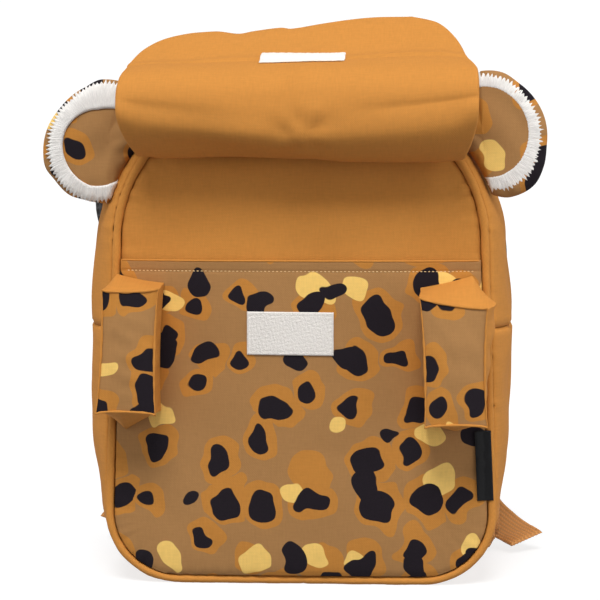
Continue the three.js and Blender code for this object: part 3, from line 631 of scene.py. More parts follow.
def ribbed_webbing(name, code):
    """Woven webbing: thick ribs along its length, each a chain of slanted picks, with painted shade darkening
    the valleys between ribs and picks and lightening their crests.
    """
    material, tree, shader = new_material(name, Roughness=0.68, Sheen_Weight=0.12)
    lay = cloth_lay(tree)
    apart = add(tree, "SeparateXYZ", {0: lay})
    across = sums(tree, "MULTIPLY", apart.outputs[0], 2 * math.pi / (WEBBING_WIDTH / WEBBING_RIBS))
    zigzag = sums(tree, "MULTIPLY", sums(tree, "SINE", across), 0.8)
    slanted = sums(tree, "ADD", apart.outputs[1], zigzag)
    picks = sums(tree, "SINE", sums(tree, "MULTIPLY", slanted, 2 * math.pi / PICK_MM))
    grain = noise(tree, lay, 1.2, 2.0).outputs[0]
    # Painted shade on the ribs: lighter on their crests and darker in the valleys between them, and the picks
    # likewise.
    painted_rib_shade = sums(tree, "COSINE", across)
    tone = sums(tree, "ADD", sums(tree, "MULTIPLY", picks, 0.1), sums(tree, "MULTIPLY", painted_rib_shade, 0.14))
    tone = sums(tree, "ADD", tone, sums(tree, "ADD", sums(tree, "MULTIPLY", grain, 0.3), 0.85))
    tint(tree, shader, linear(code)[:3], tone)
    emboss(tree, shader, picks, 0.5, 0.4)
    return material


def moulded_acetal(name, code):
    """Injection-moulded acetal: even black with a low gloss and the faint grain of its mould."""
    material, tree, shader = new_material(name, Roughness=0.38, IOR=1.48)
    spot = add(tree, "TexCoord").outputs["Object"]
    grain = noise(tree, spot, 1400.0, 2.0).outputs[0]
    tint(tree, shader, linear(code)[:3], spread_out(tree, grain, 0.0, 1.0, 0.8, 1.25))
    emboss(tree, shader, grain, 0.2, 0.2)
    return material


def spun_thread(name, code):
    """Spun polyester thread: pale, softly shining, twisted at a slant."""
    material, tree, shader = new_material(name, Roughness=0.55, Sheen_Weight=0.2)
    spot = add(tree, "TexCoord").outputs["Object"]
    slanted = add(tree, "Mapping", {"Vector": spot, "Rotation": (0.6, 0.6, 0.6)}).outputs[0]
    twist = noise(tree, slanted, 2200.0, 1.0).outputs[0]
    tint(tree, shader, linear(code)[:3], spread_out(tree, twist, 0.0, 1.0, 0.75, 1.15))
    return material


ochre_cloth = dyed_polyester("dyed_polyester_ochre", OCHRE)
ochre_piping = dyed_polyester("bias_cut_polyester_ochre", OCHRE)
print_cloth = printed_polyester("printed_polyester_spots")
pile_cloth = embroidered_pile("satin_stitched_pile_white", "#fbf7f2")
tape_cloth = napped_tape("knitted_loop_tape_white", "#e9e4de", 0.8, 0.7)
hook_cloth = napped_tape("moulded_hook_tape_white", "#f6f1ea", 0.6, 0.6)
label_cloth = satin_ribbon("satin_ribbon_black", "#0f0f11")
mesh_cloth = spacer_mesh("spacer_mesh_black", "#2a2a2c")
webbing_cloth = ribbed_webbing("woven_webbing_ochre", "#c78743")
buckle_plastic = moulded_acetal("moulded_acetal_black", "#202022")
pale_thread = spun_thread("spun_thread_pale", "#e8c68c")
ochre_thread = spun_thread("spun_thread_ochre", "#c08543")
white_thread = spun_thread("spun_thread_white", "#f0ebe4")


def dress(piece, material, node=None):
    """Gives a piece its material and the node that it stands for."""
    piece.data.materials.clear()
    piece.data.materials.append(material)
    if node:
        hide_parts(node)
    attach(piece, "root")
    return piece


# Camera, floor and light

LENS_MM = 134.2
SENSOR_MM = 36
VIEW_AZIMUTH = 3.2
VIEW_ELEVATION = 4.2
VIEW_DISTANCE = 1290
VIEW_TARGET = (0.3, -60, 167)


def place_camera():
    data = bpy.data.cameras.new("photo_camera")
    data.lens = LENS_MM
    data.sensor_width = SENSOR_MM
    camera = bpy.data.objects.new("photo_camera", data)
    turn, rise = math.radians(VIEW_AZIMUTH), math.radians(VIEW_ELEVATION)
    back = Vector((math.sin(turn) * math.cos(rise), -math.cos(turn) * math.cos(rise), math.sin(rise)))
    camera.location = (Vector(VIEW_TARGET) + back * VIEW_DISTANCE) * METRES
    camera.rotation_mode = "QUATERNION"
    camera.rotation_quaternion = (-back).to_track_quat("-Z", "Y")
    data.clip_start, data.clip_end = 0.05, 50
    bpy.context.scene.collection.objects.link(camera)
    bpy.context.scene.camera = camera


FLOOR_HALF = 8000
DOME_RADIUS = 7500
# Each soft light: its strength, how wide it is in degrees, and where it shines to
LIGHTS = {
    "softbox": (2.75, 26, (0.03, 0.56, -0.83)),
    "left_fill": (0.8, 60, (0.95, 0.25, -0.2)),
    "right_fill": (1.4, 60, (-0.95, 0.25, -0.2)),
}
ROOM_LIGHT = 0.32


def build_studio():
    corners = np.array([(-1, -1, 0), (1, -1, 0), (1, 1, 0), (-1, 1, 0)]) * FLOOR_HALF
    floor = new_piece("floor", corners, [(0, 1, 2, 3)])
    material, tree, shader = new_material("white_card_floor", Roughness=0.9, Emission_Strength=0.75)
    shader.inputs["Base Color"].default_value = linear("#8c8c8c")
    shader.inputs["Emission Color"].default_value = linear("#ffffff")
    floor.data.materials.append(material)
    floor.visible_diffuse = False
    turn, rise = np.meshgrid(np.linspace(0, 2 * math.pi, 65)[:-1], np.linspace(-0.05, math.pi / 2, 17))
    places = np.stack([np.cos(rise) * np.cos(turn), np.cos(rise) * np.sin(turn), np.sin(rise)], axis=-1)
    dome = new_piece("backdrop", places.reshape(-1, 3) * DOME_RADIUS, grid_faces(*turn.shape, wrap=True))
    material = bpy.data.materials.new("white_backdrop")
    material.use_nodes = True
    tree = material.node_tree
    tree.nodes.clear()
    glow = add(tree, "Emission", {"Color": linear("#ffffff"), "Strength": 1.05})
    add(tree, "OutputMaterial", {0: glow.outputs[0]})
    dome.data.materials.append(material)
    dome.visible_diffuse = False
    dome.visible_glossy = False
    dome.visible_transmission = False
    dome.visible_shadow = False
    world = bpy.data.worlds.new("soft_room")
    bpy.context.scene.world = world
    world.use_nodes = True
    world.node_tree.nodes["Background"].inputs[0].default_value = (1, 1, 1, 1)
    world.node_tree.nodes["Background"].inputs[1].default_value = ROOM_LIGHT
    for name, (energy, wide, towards) in LIGHTS.items():
        sun = bpy.data.lights.new(name, "SUN")
        sun.energy = energy
        sun.angle = math.radians(wide)
        lamp = bpy.data.objects.new(name, sun)
        lamp.rotation_mode = "QUATERNION"
        lamp.rotation_quaternion = Vector(towards).to_track_quat("-Z", "Y")
        bpy.context.scene.collection.objects.link(lamp)
    bpy.context.scene.view_settings.view_transform = "Standard"
    bpy.context.scene.view_settings.look = "None"


# The body's pieces

def piping(name, seam_y, node, seed):
    along = np.linspace(-rim_half, rim_half, 461)[:-1]
    rim_x, rim_z, out_x, out_z = rim_at(along)
    turn = np.linspace(0, 2 * math.pi, 19)[:-1]
    run = along.reshape(-1, 1)
    uneven = ripple(run, 26, seed) * 0.1 + ripple(run, 7, seed + 1) * 0.05
    join = -0.35 * bump(along - 2, 0.9)
    radius = (PIPING_RADIUS + uneven + join)[:, None]
    off = radius * np.cos(turn)[None] - PIPING_RADIUS
    x = rim_x[:, None] + out_x[:, None] * off
    z = np.maximum(rim_z[:, None] + out_z[:, None] * off, 0.0)
    y = seam_y + radius * np.sin(turn)[None] + ripple(run, 90, seed + 2)[:, None] * 0.3
    rings = np.stack([x, y, z], axis=-1)
    around = PIPING_RADIUS * turn
    bias = np.stack([along[:, None] + around[None], along[:, None] - around[None]], axis=-1) / math.sqrt(2)
    piece = tube_piece(name, rings, bias)
    return dress(piece, ochre_piping, node)


# Soft dents in the plain front above the pocket: x, z, reach across, reach up, depth
FRONT_DENTS = [
    (-40, 240, 24, 12, -3.2),
    (-86, 236, 11, 16, 2.0),
    (38, 232, 34, 10, 1.6),
    (78, 226, 13, 16, -1.4),
    (20, 210, 44, 10, -0.8),
    (-60, 206, 26, 12, 0.8),
]


def dents(x, z, table):
    total = np.zeros(np.shape(x))
    for centre_x, centre_z, across, up, depth in table:
        total += depth * bump(x - centre_x, across) * bump(z - centre_z, up)
    return total


def panel_grid(rows, columns, low, high):
    z = dense_ends(low, high, rows)[:, None] * np.ones((1, columns))
    x = dense_ends(-1, 1, columns)[None] * half_width_at(z)
    return x, z


def front_panel():
    x, z = panel_grid(150, 116, panel_inset, BODY_HEIGHT - panel_inset)
    distance, along = seam_place(x, z)
    y = front_y(x, z) + seam_puckers(distance, along, 11) + 0.9 * bump(distance, 2.2)
    shown = ease(POCKET_HEIGHT - 30, POCKET_HEIGHT + 4, z)
    cloth = np.stack([x, z], axis=-1)
    away = 1 - bump(distance, 9)
    y += shown * away * (dents(x, z, FRONT_DENTS) + 0.35 * ripple(cloth, 60, 12))
    grid = np.stack([x, y, z], axis=-1)
    piece = sheet_piece("front_cloth", grid, CLOTH_WALL, cloth)
    dress(piece, ochre_cloth, "front_panel")


def pocket_surface(x, z):
    distance, along = seam_place(x, z)
    y = pocket_y(x, z) + 0.5 * seam_puckers(distance, along, 21) + 0.9 * bump(distance, 2.4)
    away = 1 - bump(distance, 12)
    cloth = np.stack([x, z], axis=-1)
    y = y - away * np.abs(0.35 * ripple(cloth, 75, 22))
    below = POCKET_HEIGHT - HEM_DEPTH
    y = y + 0.25 * bump(z - below, 1.0)
    y = y - away * 0.5 * ease(below + 1, POCKET_HEIGHT, z) * (1 + 0.6 * ripple(x[..., None], 70, 23))
    return y


def front_pocket():
    x, z = panel_grid(150, 120, panel_inset, POCKET_HEIGHT)
    y = pocket_surface(x, z)
    grid = np.stack([x, y, z], axis=-1)
    thick = CLOTH_WALL + 0.5 * ease(POCKET_HEIGHT - HEM_DEPTH, POCKET_HEIGHT - HEM_DEPTH + 1.5, z)
    piece = sheet_piece("pocket_print_cloth", grid, thick, np.stack([x, z], axis=-1))
    dress(piece, print_cloth, "front_pocket")
    height = POCKET_HEIGHT - HEM_DEPTH
    route_x = np.linspace(-half_width_at(height) + 2.5, half_width_at(height) - 2.5, 200)
    route_z = np.full_like(route_x, height)
    route_y = pocket_surface(route_x[None], route_z[None])[0] - CLOTH_WALL / 2 - 0.2
    route = np.stack([route_x, route_y, route_z], axis=-1)
    out = np.tile([0.0, -1.0, 0.0], (len(route), 1))
    rows = [dress(stitches_along("pocket_hem_stitches", route, out), pale_thread)]
    # The pocket's top edge: a round tube that is partly the real folded hem and partly a painted highlight.
    # Its plain ochre, lighter than the print, stands for the light that the fold's edge catches.
    edge_x = np.linspace(-half_width_at(POCKET_HEIGHT) + 1, half_width_at(POCKET_HEIGHT) - 1, 160)
    edge_y = pocket_surface(edge_x[None], np.full((1, 160), POCKET_HEIGHT - 0.6))[0] - CLOTH_WALL / 2
    turn = np.linspace(0, 2 * math.pi, 9)[:-1]
    fold = np.stack([
        np.broadcast_to(edge_x[:, None], (160, 8)),
        edge_y[:, None] + 0.55 * np.cos(turn)[None],
        POCKET_HEIGHT - 0.3 + 0.55 * np.sin(turn)[None] + 0 * edge_x[:, None],
    ], axis=-1)
    hem_edge_highlight = tube_piece("pocket_hem_fold_highlight", fold, fold[..., [0, 2]], is_loop=False)
    rows.append(dress(hem_edge_highlight, ochre_piping))


def back_panel():
    x, z = panel_grid(130, 100, panel_inset, BODY_HEIGHT - panel_inset)
    crown = crown_share(x, z)
    distance, along = seam_place(x, z)
    thick = CLOTH_WALL + (BACK_PADDING - CLOTH_WALL) * np.minimum(1, 2.2 * crown)
    y = half_depth + BACK_CROWN * crown - seam_puckers(distance, along, 31, 0.7, 12)
    y -= 1.2 * bump(x, 2.2) * (1 - bump(distance, 20))
    cloth = np.stack([x, z], axis=-1)
    y += (1 - bump(distance, 15)) * 0.6 * ripple(cloth, 70, 32)
    grid = np.stack([x, y, z], axis=-1)
    piece = sheet_piece("back_pad", grid, thick, cloth, open_sides=(False,) * 4)
    dress(piece, ochre_cloth, "back_panel")


# Long soft creases in the side walls: place along the rim, y, reach along, reach across, depth
WALL_CREASES = [
    (230, -12, 26, 9, -1.8),
    (262, 14, 30, 10, 1.5),
    (318, -8, 26, 12, -1.6),
    (196, 16, 20, 12, 1.2),
    (150, -14, 16, 14, -1.0),
]


WALL_FULLNESS = (1.2, 0.88)  # how full the left and the right stand, as a share of the swell
WALL_SHOULDER = (0.5, 1.2)  # how far the left and the right shoulder lie in under their ears
LEFT_FOOT_SWELL = 2.5


def side_wall(name, node, first, last, seed, rows=46):
    count = max(24, int(abs(last - first) / 2.6))
    along = np.linspace(first, last, count)
    depths = dense_ends(wall_front, -wall_front, rows)
    along, y = np.meshgrid(along, depths)
    rim_x, rim_z, out_x, out_z = rim_at(along)
    edge = np.minimum(y - wall_front, -wall_front - y)
    is_left = along < 0
    fullness = np.where(is_left, *WALL_FULLNESS)
    shoulder = np.where(is_left, *WALL_SHOULDER)
    off = swell_at(rim_z, y) * fullness - CLOTH_WALL / 2
    off -= shoulder * bump(rim_z - 222, 22) * ease(0, 22, edge)
    middle = np.sin(math.pi * np.clip((y - wall_front) / (-2 * wall_front), 0, 1))
    off += np.where(is_left, LEFT_FOOT_SWELL, 0) * bump(rim_z - 60, 45) * middle
    high = ease(10, 50, rim_z)
    off += seam_puckers(edge, along * np.where(y < 0, 1, -1), seed, 0.5, 8) * (0.2 + 0.8 * high)
    off -= 0.8 * bump(edge, 1.6) * high
    inner = 1 - bump(edge, 14)
    for place, centre_y, reach, across, depth in WALL_CREASES:
        slant = (np.abs(along) - place) * 0.35
        off += inner * depth * bump(np.abs(along) - place, reach) * bump(y - centre_y - slant, across)
    off += inner * high * 0.7 * ripple(np.stack([along, y], axis=-1), 48, seed + 1)
    from_seam = np.abs(np.abs(along) - seam_along)
    off -= 0.5 * bump(from_seam, 1.1)
    off += 0.3 * bump(from_seam, 7) * ripple(y[..., None], 12, seed + 2) * inner
    x = rim_x + out_x * off
    z = np.maximum(rim_z + out_z * off, CLOTH_WALL / 2)
    grid = np.stack([x, y, z], axis=-1)
    cloth = np.stack([y, along], axis=-1)
    piece = sheet_piece(name, grid, CLOTH_WALL, cloth)
    dress(piece, ochre_cloth, node)


# The lid

LID_COLUMNS = ("over", "ahead", "rise", "drop", "wide", "dip", "tilt", "hug")
LID_ROWS = [
    (1, 0, 0, 0, 0.4, 0, 0, 1),
    (0.84, 0, 0.03, 0, 0.6, 0, 0, 0.98),
    (0.6, 0, 0.06, 0, 0.75, 0, 0, 0.88),
    (0.15, 0, 0.12, 0, 0.88, 0.1, 0, 0.5),
    (-0.4, 0, 0.11, 0, 0.93, 0, 0, 0.15),
    (-0.85, 0, 0.07, 0, 0.93, 0, 0, 0),
    (-1, 0.06, 0.03, 0, 0.93, 0, 0, 0),
    (-1, 0.21, 0, 0.14, 0.93, 0, 0, 0),
    (-1, 0.24, 0, 0.55, 0.925, 0, 0, 0),
    (-1, 0.27, 0, 0.9, 0.92, 0, 0.1, 0),
    (-1, 0.37, 0, 1.07, 0.92, 0, 0.2, 0),
    (-1, 0.52, 0, 1.02, 0.93, 0.1, 0.2, 0),
    (-1, 0.78, 0, 0.76, 0.965, 0.5, 0, 0),
    (-1, 0.97, 0, 0.36, 0.995, 1, 0, 0),
    (-1, 1, 0, 0.08, 1, 0.7, 0.1, 0),
    (-1, 0.92, 0.1, 0, 1, 0.3, 0.2, 0),
    (-1, 0.66, 0.27, 0, 1, 0.1, 0.3, 0),
    (-1, 0.34, 0.35, 0, 0.995, 0, 0.35, 0),
    (-1, 0, 0.42, 0, 0.985, 0, 0.45, 0),
    (-0.76, 0, 0.49, 0, 0.96, 0, 0.6, 0),
    (-0.46, 0, 0.69, 0, 0.89, 0, 0.8, 0),
    (-0.22, 0, 0.88, 0, 0.77, 0, 1, 0),
    (-0.1, 0, 0.96, 0, 0.62, 0, 1, 0),
]
lid_last = len(LID_ROWS) - 1
lid_base = BODY_HEIGHT + SEAM_GAP + LID_PADDING / 2
lid_root_run = top_half + shoulder_arc * LID_ROOT_SHARE
DIMPLE_ROW = 12.9
DIMPLE_X = 3


def lid_column(name, row):
    values = [line[LID_COLUMNS.index(name)] for line in LID_ROWS]
    return look(list(enumerate(values)), row)


def lid_place(side, row):
    side, row = np.broadcast_arrays(np.asarray(side, float), np.asarray(row, float))
    y = lid_column("over", row) * half_depth - lid_column("ahead", row) * LID_REACH
    z = lid_base + lid_column("rise", row) * LID_RISE - lid_column("drop", row) * LID_DROP
    z = z - lid_column("dip", row) * LID_DIP * (1 - side * side) + lid_column("tilt", row) * LID_TILT * side
    x = side * lid_column("wide", row) * LID_WIDTH / 2
    hug = lid_column("hug", row)
    rim_x, rim_z, out_x, out_z = rim_at(rim_half - np.abs(side) * lid_root_run)
    off = swell_at(rim_z, y) + 2 * CLOTH_GAP + LID_PADDING / 2
    hand = np.where(side < 0, -1.0, 1.0)
    hugged_x, hugged_z = hand * (rim_x + out_x * off), rim_z + out_z * off
    return np.stack([x + (hugged_x - x) * hug, y, z + (hugged_z - z) * hug], axis=-1)


def lid_folds(grid, side, row):
    """How far the lid's cloth stands proud of its smooth form, or sinks below it."""
    x = grid[..., 0]
    front = ease(11, 12.5, row)
    star_x, star_row = x - DIMPLE_X, (row - DIMPLE_ROW) * 13
    reach = np.hypot(star_x, star_row)
    spokes = 0.5 + 0.5 * np.cos(5 * np.arctan2(star_row, star_x) + 0.7)
    fold = -3.6 * bump(reach, 6) - 1.5 * spokes * bump(reach - 10, 8)
    fold += -2.2 * bump(x - 6, 10) * ease(13, 14, row) * (1 - ease(16, 17.4, row))
    fold += 1.3 * bump(x - 30, 16) * bump(row - 14.4, 1.2)
    fold += 1.2 * bump(x + 26, 18) * bump(row - 14.2, 1.2)
    fold += 1.5 * bump(row - 13.9, 0.34) * ease(18, 60, x)
    fold += 0.8 * bump(row - 13.7, 0.4) * ease(30, 80, -x)
    fold += -1.4 * bump(row - 12.7, 0.8) * (1 - bump(x - DIMPLE_X, 16))
    fold += -0.7 * bump(row - 18.1, 0.16) * ease(22, 32, x) * (1 - ease(80, 96, x))
    fold += -0.5 * bump(row - 18.4, 0.25) * ease(26, 34, -x) * (1 - ease(50, 70, -x))
    fold += 1.3 * bump(row - 19.6, 0.9) * bump(x - 62, 30)
    fold += front * 0.7 * ripple(np.stack([x, row * 11], axis=-1), 75, 41)
    kinks = np.abs(np.abs(side) - 1) * LID_WIDTH / 2
    fold += -2.0 * bump(kinks, 8) * bump(row - 13.3, 0.6)
    fold += (1 - front) * 0.7 * ripple(np.stack([x, grid[..., 1]], axis=-1), 60, 42)
    return fold


# How the crease against the front wanders, in x and rise
CREASE_WAVES = [[-100, 1.6], [-56, 4.4], [-20, 2.2], [4, 0], [30, -3.2], [95, -3.2]]


def lid_settle(grid, side, row):
    """Fits the lid's two free corners and its crease to how they lie."""
    full_left = 1.5 * bump(row - 17, 1.6) - 5.5 * bump(row - 20.4, 1.8)
    slack_right = -4 * bump(row - 18.2, 1.6)
    corner = np.abs(side) ** 3
    grid[..., 0] += np.where(side < 0, full_left, slack_right) * corner
    grid[..., 2] += look(CREASE_WAVES, grid[..., 0]) * bump(row - 11.1, 1.3)
    return grid


# The free edge's own waves: x and rise
LIP_WAVES = [[-92, 2.5], [-70, 1.0], [-52, 0.6], [-38, -1.6], [-30, -0.4], [-14, 0.9], [-8, -0.2],
             [10, 0.6], [40, 1.0], [62, 0.2]]


def lid_grid():
    fine = np.linspace(0, lid_last, 1400)
    middle = lid_place(0.3, fine)
    run = np.concatenate([[0], np.cumsum(np.linalg.norm(np.diff(middle, axis=0), axis=1))])
    rows = np.interp(dense_ends(0, run[-1], 176), run, fine)
    sides = dense_ends(-1, 1, 118)
    side, row = np.meshgrid(sides, rows)
    grid = lid_place(side, row)
    grid = grid - grid_normals(grid) * lid_folds(grid, side, row)[..., None]
    grid[..., 2] += look(LIP_WAVES, grid[..., 0]) * ease(19.5, 22, row)
    grid = lid_settle(grid, side, row)
    cloth = np.stack([grid[..., 0], np.interp(row, fine, run)], axis=-1)
    thick_side = np.minimum(1, (1 - np.abs(side)) / LID_HEM_SHARE)
    thick_end = np.minimum(1, (lid_last - row) / 2)
    thick = LID_PADDING * (0.5 + 0.5 * np.minimum(thick_side, thick_end))
    return grid, cloth, thick


def lid_flap():
    grid, cloth, thick = lid_grid()
    piece = sheet_piece("lid_padded_cloth", grid, thick, cloth)
    dress(piece, ochre_cloth, "lid_flap")


STITCH_INSET = 1.9  # from a tape's edge to the row that holds it


def taped_patch(name, node, grid, cloth, material, thickness):
    normals = grid_normals(grid)
    lift = ripple(cloth, 2.2, 51) * 0.12 + ripple(cloth, 1.1, 52) * 0.07
    from_edge = np.minimum(
        np.minimum(cloth[..., 0] - cloth[..., 0].min(), cloth[..., 0].max() - cloth[..., 0]),
        np.minimum(cloth[..., 1] - cloth[..., 1].min(), cloth[..., 1].max() - cloth[..., 1]),
    )
    thick = thickness + 0.15 * ripple(cloth, 1.6, 53) - 0.35 * bump(from_edge - STITCH_INSET, 0.5)
    piece = sheet_piece(name, grid, thick, cloth, lift * 0.5)
    dress(piece, material, node)
    low = cloth.reshape(-1, 2).min(0) + STITCH_INSET
    high = cloth.reshape(-1, 2).max(0) - STITCH_INSET
    loop = [low, (high[0], low[1]), high, (low[0], high[1]), low]
    route, out = [], []
    for start, end in zip(loop[:-1], loop[1:]):
        for share in np.linspace(0, 1, 40)[:-1]:
            spot = np.array(start) + share * (np.array(end) - np.array(start))
            nearest = np.argmin(((cloth - spot) ** 2).sum(-1))
            place = np.unravel_index(nearest, cloth.shape[:2])
            route.append(grid[place] + normals[place] * (thickness / 2 - 0.1))
            out.append(normals[place])
    stitches = stitches_along(name + "_stitches", np.array(route), np.array(out), 2.4, 1.7)
    dress(stitches, white_thread)


def loop_patch():
    across, up = np.meshgrid(np.linspace(-PATCH_WIDTH / 2, PATCH_WIDTH / 2, 91),
                             np.linspace(-PATCH_HEIGHT / 2, PATCH_HEIGHT / 2, 47))
    x, z = PATCH_CENTRE[0] + across, PATCH_CENTRE[1] + up - PATCH_LEAN * across
    y = pocket_surface(x, z) - CLOTH_WALL / 2 - PATCH_THICKNESS / 2 - 0.1
    grid = np.stack([x, y, z], axis=-1)
    taped_patch("loop_tape_patch", "loop_patch", grid, np.stack([across, up], axis=-1),
                tape_cloth, PATCH_THICKNESS)


def hook_strip():
    ahead, behind = lid_place(0, STRIP_ROW - 1), lid_place(0, STRIP_ROW + 1)
    middle = lid_place(0, STRIP_ROW)
    half = STRIP_LENGTH / 2
    first = STRIP_ROW - half / np.linalg.norm(middle - ahead)
    last = STRIP_ROW + half / np.linalg.norm(behind - middle)
    wide = STRIP_WIDTH / 2
    across, row = np.meshgrid(np.linspace(-wide, wide, 81), np.linspace(first, last, 45))
    side = (STRIP_CENTRE_X + across) / (lid_column("wide", row) * LID_WIDTH / 2)
    grid = lid_place(side, row)
    normals = grid_normals(grid)
    grid = grid - normals * lid_folds(grid, side, row)[..., None]
    grid = grid + normals * (LID_PADDING / 2 + STRIP_THICKNESS / 2 + 0.1)
    up = np.linspace(-half, half, 45)[:, None] * np.ones((1, 81))
    taped_patch("hook_tape_strip", "hook_strip", grid, np.stack([across, up], axis=-1),
                hook_cloth, STRIP_THICKNESS)


# The ears

EAR_PROFILE = [[0, 1], [0.35, 0.97], [0.65, 0.84], [0.85, 0.6], [0.96, 0.32], [1, 0.1]]
ear_y = wall_front + EAR_THICKNESS / 2
ear_lid_clear = LID_WIDTH / 2 + CLOTH_GAP
ear_lid_height = BODY_HEIGHT - LID_PADDING
# The stuffed edge by direction: degrees up from straight out, and how far it stands out or in.
EDGE_LEFT = [[-120, 0], [-73, -0.7], [-55, 1], [-37, 0.5], [-24, 1.5], [-9, 0.1], [13, -2], [40, -3.9],
             [70, -2.9], [88, -0.2], [120, 0]]
EDGE_RIGHT = [[-110, 0], [-87, -3.1], [-65, 2.1], [-43, 4.3], [-28, 2.8], [-5, 0.5], [15, 0.5], [36, 0.3],
              [55, 0.4], [75, 2.1], [110, 0]]
# The crescent trim by direction: its inner and its outer distance from the ear's centre.
TRIM_LEFT = [[-114, 23, 30], [-96, 24.8, 34], [-73, 26.4, 36.4], [-55, 25.8, 36], [-31, 24.8, 35],
             [-8, 23.9, 32.9], [18, 22.7, 31.6], [56, 20.2, 31.6], [82, 18.7, 34.6], [100, 19.5, 35],
             [118, 21, 34]]
TRIM_RIGHT = [[-118, 21, 27], [-101, 22, 29], [-86, 22.8, 32.5], [-64, 23.6, 37], [-40, 24.2, 37.2],
              [-10, 24.8, 35.7], [15, 25.6, 36], [35, 26.4, 35.7], [55, 27.2, 36.6], [75, 28, 38],
              [92, 28, 38], [112, 28, 37]]
EARS = {
    "left": dict(hand=-1, x=115, z=258, edge=EDGE_LEFT, trim=TRIM_LEFT, seed=61),
    "right": dict(hand=1, x=105.5, z=261, edge=EDGE_RIGHT, trim=TRIM_RIGHT, seed=71),
}


def ear_is_free(x, z):
    """Whether a place is clear of the lid and of the side wall."""
    level = np.clip(z - shoulder_base, 0, None)
    straight = x / flare_at(z)
    outside = np.where(z < shoulder_base, straight - half_width,
                       np.hypot(straight - top_half, level) - SHOULDER_RADIUS)
    clear = swell_at(z, ear_y + EAR_THICKNESS / 2 * 0.14) + CLOTH_GAP
    return ((z < ear_lid_height) | (x > ear_lid_clear)) & (outside > clear)


def ear_reach(ear, turn):
    turn = np.asarray(turn, float)
    inside, outside = np.zeros(turn.shape), np.full(turn.shape, float(EAR_RADIUS))
    is_free = ear_is_free(ear["x"] + outside * np.cos(turn), ear["z"] + outside * np.sin(turn))
    for _ in range(16):
        middle = (inside + outside) / 2
        free = ear_is_free(ear["x"] + middle * np.cos(turn), ear["z"] + middle * np.sin(turn))
        inside, outside = np.where(free, middle, inside), np.where(free, outside, middle)
    reach = np.where(is_free, EAR_RADIUS, inside)
    edge = look(ear["edge"], np.degrees(np.arctan2(np.sin(turn), np.cos(turn))))
    return np.where(is_free, reach + edge, reach)


def ear_face(ear, turn, share):
    """How far the ear's face stands off its middle plane."""
    half = EAR_THICKNESS / 2 * look(EAR_PROFILE, share)
    gathers = ripple(np.stack([np.cos(turn), np.sin(turn)], axis=-1), 0.28, ear["seed"])
    gathers = gathers * 0.45 * ease(0.72, 0.93, share) * (1 - ease(0.96, 1, share))
    x, z = share * EAR_RADIUS * np.cos(turn), share * EAR_RADIUS * np.sin(turn)
    slack = 0.45 * ripple(np.stack([x, z], axis=-1), 34, ear["seed"] + 1)
    return half + gathers - (slack + 0.45) * (1 - ease(0.6, 0.9, share))


def padded_ear(name, ear):
    turns = np.linspace(0, 2 * math.pi, 129)[:-1]
    shares = 1 - (1 - np.linspace(0.03, 1, 34)) ** 1.35
    turn, share = np.meshgrid(turns, shares)
    reach = share * ear_reach(ear, turn)
    x = ear["hand"] * (ear["x"] + reach * np.cos(turn))
    z = ear["z"] + reach * np.sin(turn)
    rings, flats = [], []
    for face, order in ((-1, slice(None)), (1, slice(None, None, -1))):
        y = ear_y + face * ear_face(ear, turn, share)
        rings.append(np.stack([x, y, z], axis=-1)[order])
        flats.append(np.stack([x + face * 40, z], axis=-1)[order])
    rings = np.concatenate(rings)
    piece = tube_piece(f"ear_{name}_print_cloth", rings, np.concatenate(flats), is_loop=False)
    dress(piece, print_cloth, f"ear_{name}")


def ear_trim(name, ear):
    per_tooth = 4
    dice = np.random.default_rng(ear["seed"] + 5)
    count = TRIM_TEETH * per_tooth + 1
    table = np.array(ear["trim"], float)
    degrees = np.linspace(table[0, 0], table[-1, 0], count)
    turns = np.radians(degrees)
    place = np.arange(count) / per_tooth
    lengths = dice.uniform(0.45, 1.5, TRIM_TEETH + 1)
    point = 1 - np.abs(2 * (place % 1) - 1)
    tooth = TRIM_TOOTH * lengths[place.astype(int)] * point
    shares = np.linspace(0, 1, 12)
    turn, inward = np.meshgrid(turns, shares)
    inner = np.interp(degrees, table[:, 0], table[:, 1])
    outer = np.interp(degrees, table[:, 0], table[:, 2]) - TRIM_TOOTH * 0.6
    outer = outer + tooth * np.clip((outer - inner) / 5, 0.15, 1)
    reach = ear_reach(ear, turn)
    radius = np.minimum(outer[None] + (inner - outer)[None] * inward, reach - 0.4)
    share = radius / reach
    x = ear["hand"] * (ear["x"] + radius * np.cos(turn))
    z = ear["z"] + radius * np.sin(turn)
    y = ear_y - ear_face(ear, turn, share)
    grid = np.stack([x, y, z], axis=-1)
    thick = TRIM_THICKNESS * (0.45 + 0.75 * ease(0, 0.35, inward)) * (1 - 0.3 * ease(0.9, 1, inward))
    strands = ripple(np.stack([turn * EAR_RADIUS, radius * 0.25], axis=-1), 1.6, ear["seed"] + 6)
    cloth = np.stack([turn * EAR_RADIUS, radius], axis=-1)
    lift = TRIM_THICKNESS / 2 * (1 if grid_normals(grid)[5, 5, 1] < 0 else -1)
    piece = sheet_piece(f"ear_trim_{name}_pile", grid, thick + 0.16 * strands, cloth, lift)
    dress(piece, pile_cloth, f"ear_trim_{name}")


